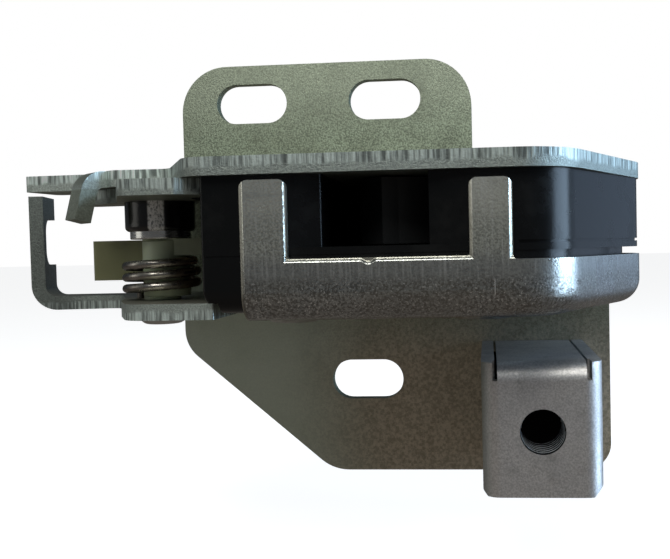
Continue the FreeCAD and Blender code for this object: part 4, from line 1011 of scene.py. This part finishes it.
# %% A gradient for the room
world = bpy.data.worlds.new("studio")
world.use_nodes = True
sky = world.node_tree
room = sky.nodes["Background"]
look = sky.nodes.new("ShaderNodeTexCoord")
height = sky.nodes.new("ShaderNodeSeparateXYZ")
sky.links.new(look.outputs["Generated"], height.inputs[0])
shades = sky.nodes.new("ShaderNodeValToRGB")
reach = sky.nodes.new("ShaderNodeMapRange")
reach.inputs["From Min"].default_value = -1.0
sky.links.new(height.outputs["Z"], reach.inputs["Value"])
sky.links.new(reach.outputs["Result"], shades.inputs["Fac"])
shades.color_ramp.elements[0].position = 0.30
shades.color_ramp.elements[0].color = (0.145, 0.130, 0.118, 1)
shades.color_ramp.elements[1].position = 0.53
shades.color_ramp.elements[1].color = (0.075, 0.085, 0.095, 1)
middle_shade = shades.color_ramp.elements.new(0.47)
middle_shade.color = (0.11, 0.10, 0.09, 1)
sky.links.new(shades.outputs["Color"], room.inputs["Color"])
room.inputs["Strength"].default_value = 1.0
print("room:", len(shades.color_ramp.elements), "shades over its height")

# %% [markdown]
# # White behind the lock
#
# The page behind the real lock's picture is plain white. A white wall could stand there, and the metal
# would mirror it. The world tells apart who looks: rays from the camera get white, all others get the dim
# room.

# %% White behind, for the camera alone
paper = sky.nodes.new("ShaderNodeBackground")
paper.inputs["Color"].default_value = (1, 1, 1, 1)
paper.inputs["Strength"].default_value = 1.0
seen = sky.nodes.new("ShaderNodeLightPath")
either = sky.nodes.new("ShaderNodeMixShader")
sky.links.new(seen.outputs["Is Camera Ray"], either.inputs[0])
sky.links.new(room.outputs[0], either.inputs[1])
sky.links.new(paper.outputs[0], either.inputs[2])
sky.links.new(either.outputs[0], sky.nodes["World Output"].inputs["Surface"])
bpy.context.scene.world = world
print("world:", bpy.context.scene.world.name)

# %% [markdown]
# # The lamps
#
# The highlights say where the light was: a broad one in front and above, and a cold window at the right.
# Point lamps would leave hard small sparks on the metal. Area lights are used, because their size sets how
# soft a highlight's rim is.

# %% Four soft boxes
def soft_box(name, place, target, width, height, power, tint):
    """A rectangular area light that faces a point."""
    bpy.ops.object.light_add(type="AREA", location=place)
    lamp = bpy.context.object
    lamp.name = name
    lamp.data.shape = "RECTANGLE"
    lamp.data.size = width
    lamp.data.size_y = height
    lamp.data.energy = power
    lamp.data.color = tint
    way = Vector(target) - Vector(place)
    lamp.rotation_euler = way.to_track_quat("-Z", "Y").to_euler()


middle = (0.015, -0.03, -0.035)
soft_box("overhead", (0.00, -0.42, 0.42), middle, width=0.36, height=0.30, power=2.2, tint=(1.0, 1.0, 0.94))
soft_box("window", (0.56, -0.06, 0.02), middle, width=0.32, height=0.50, power=3.6, tint=(0.55, 0.76, 1.0))
soft_box("far window", (0.44, 0.27, 0.00), middle, width=0.30, height=0.50, power=0.25,
         tint=(0.50, 0.70, 1.0))
soft_box("left wall", (-0.60, -0.22, 0.12), middle, width=0.3, height=0.4, power=0.25, tint=(1.0, 0.98, 0.90))

# %% [markdown]
# # The camera
#
# The camera stands where the shapes in the photograph and on the lock fall together. It could be turned by
# three angles. Its directions to the right and forward were found first, so they are given as they are,
# made square to each other, and put into a matrix. A sideways shift takes the place of cutting a wider
# picture.

# %% The camera at the photograph's place
camera_data = bpy.data.cameras.new("camera")
camera = bpy.data.objects.new("camera", camera_data)
bpy.context.collection.objects.link(camera)
right = Vector((0.9957, 0.0896, -0.0225)).normalized()
forward = Vector((-0.0904, 0.9952, -0.0368)).normalized()
up = right.cross(forward).normalized()
forward = up.cross(right).normalized()
turn = Matrix((right, up, -forward)).transposed()
camera_place = (0.038267, -0.208, -0.03364)
camera.matrix_world = Matrix.Translation(camera_place) @ turn.to_4x4()
camera_data.lens = 48.36
camera_data.sensor_width = 36
camera_data.shift_x = -0.1075
camera_data.clip_start = 0.01
bpy.context.scene.camera = camera
bpy.context.scene.view_settings.view_transform = "Standard"
bpy.context.view_layer.update()
print("camera at", [round(value, 4) for value in camera.location])

# %% [markdown]
# # The last look
#
# The dressed lock must not have grown past the measured one. It could be judged by eye, but a tenth of a
# millimetre is easily missed, so both boxes are measured and printed.

# %% The dressed lock against the measured one
visual_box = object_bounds()
sizes = {"cad": [list(corner) for corner in cad_box], "visual": [list(corner) for corner in visual_box]}
for label, (low, high) in sizes.items():
    print(label, [round((b - a) * 1000, 2) for a, b in zip(low, high)])
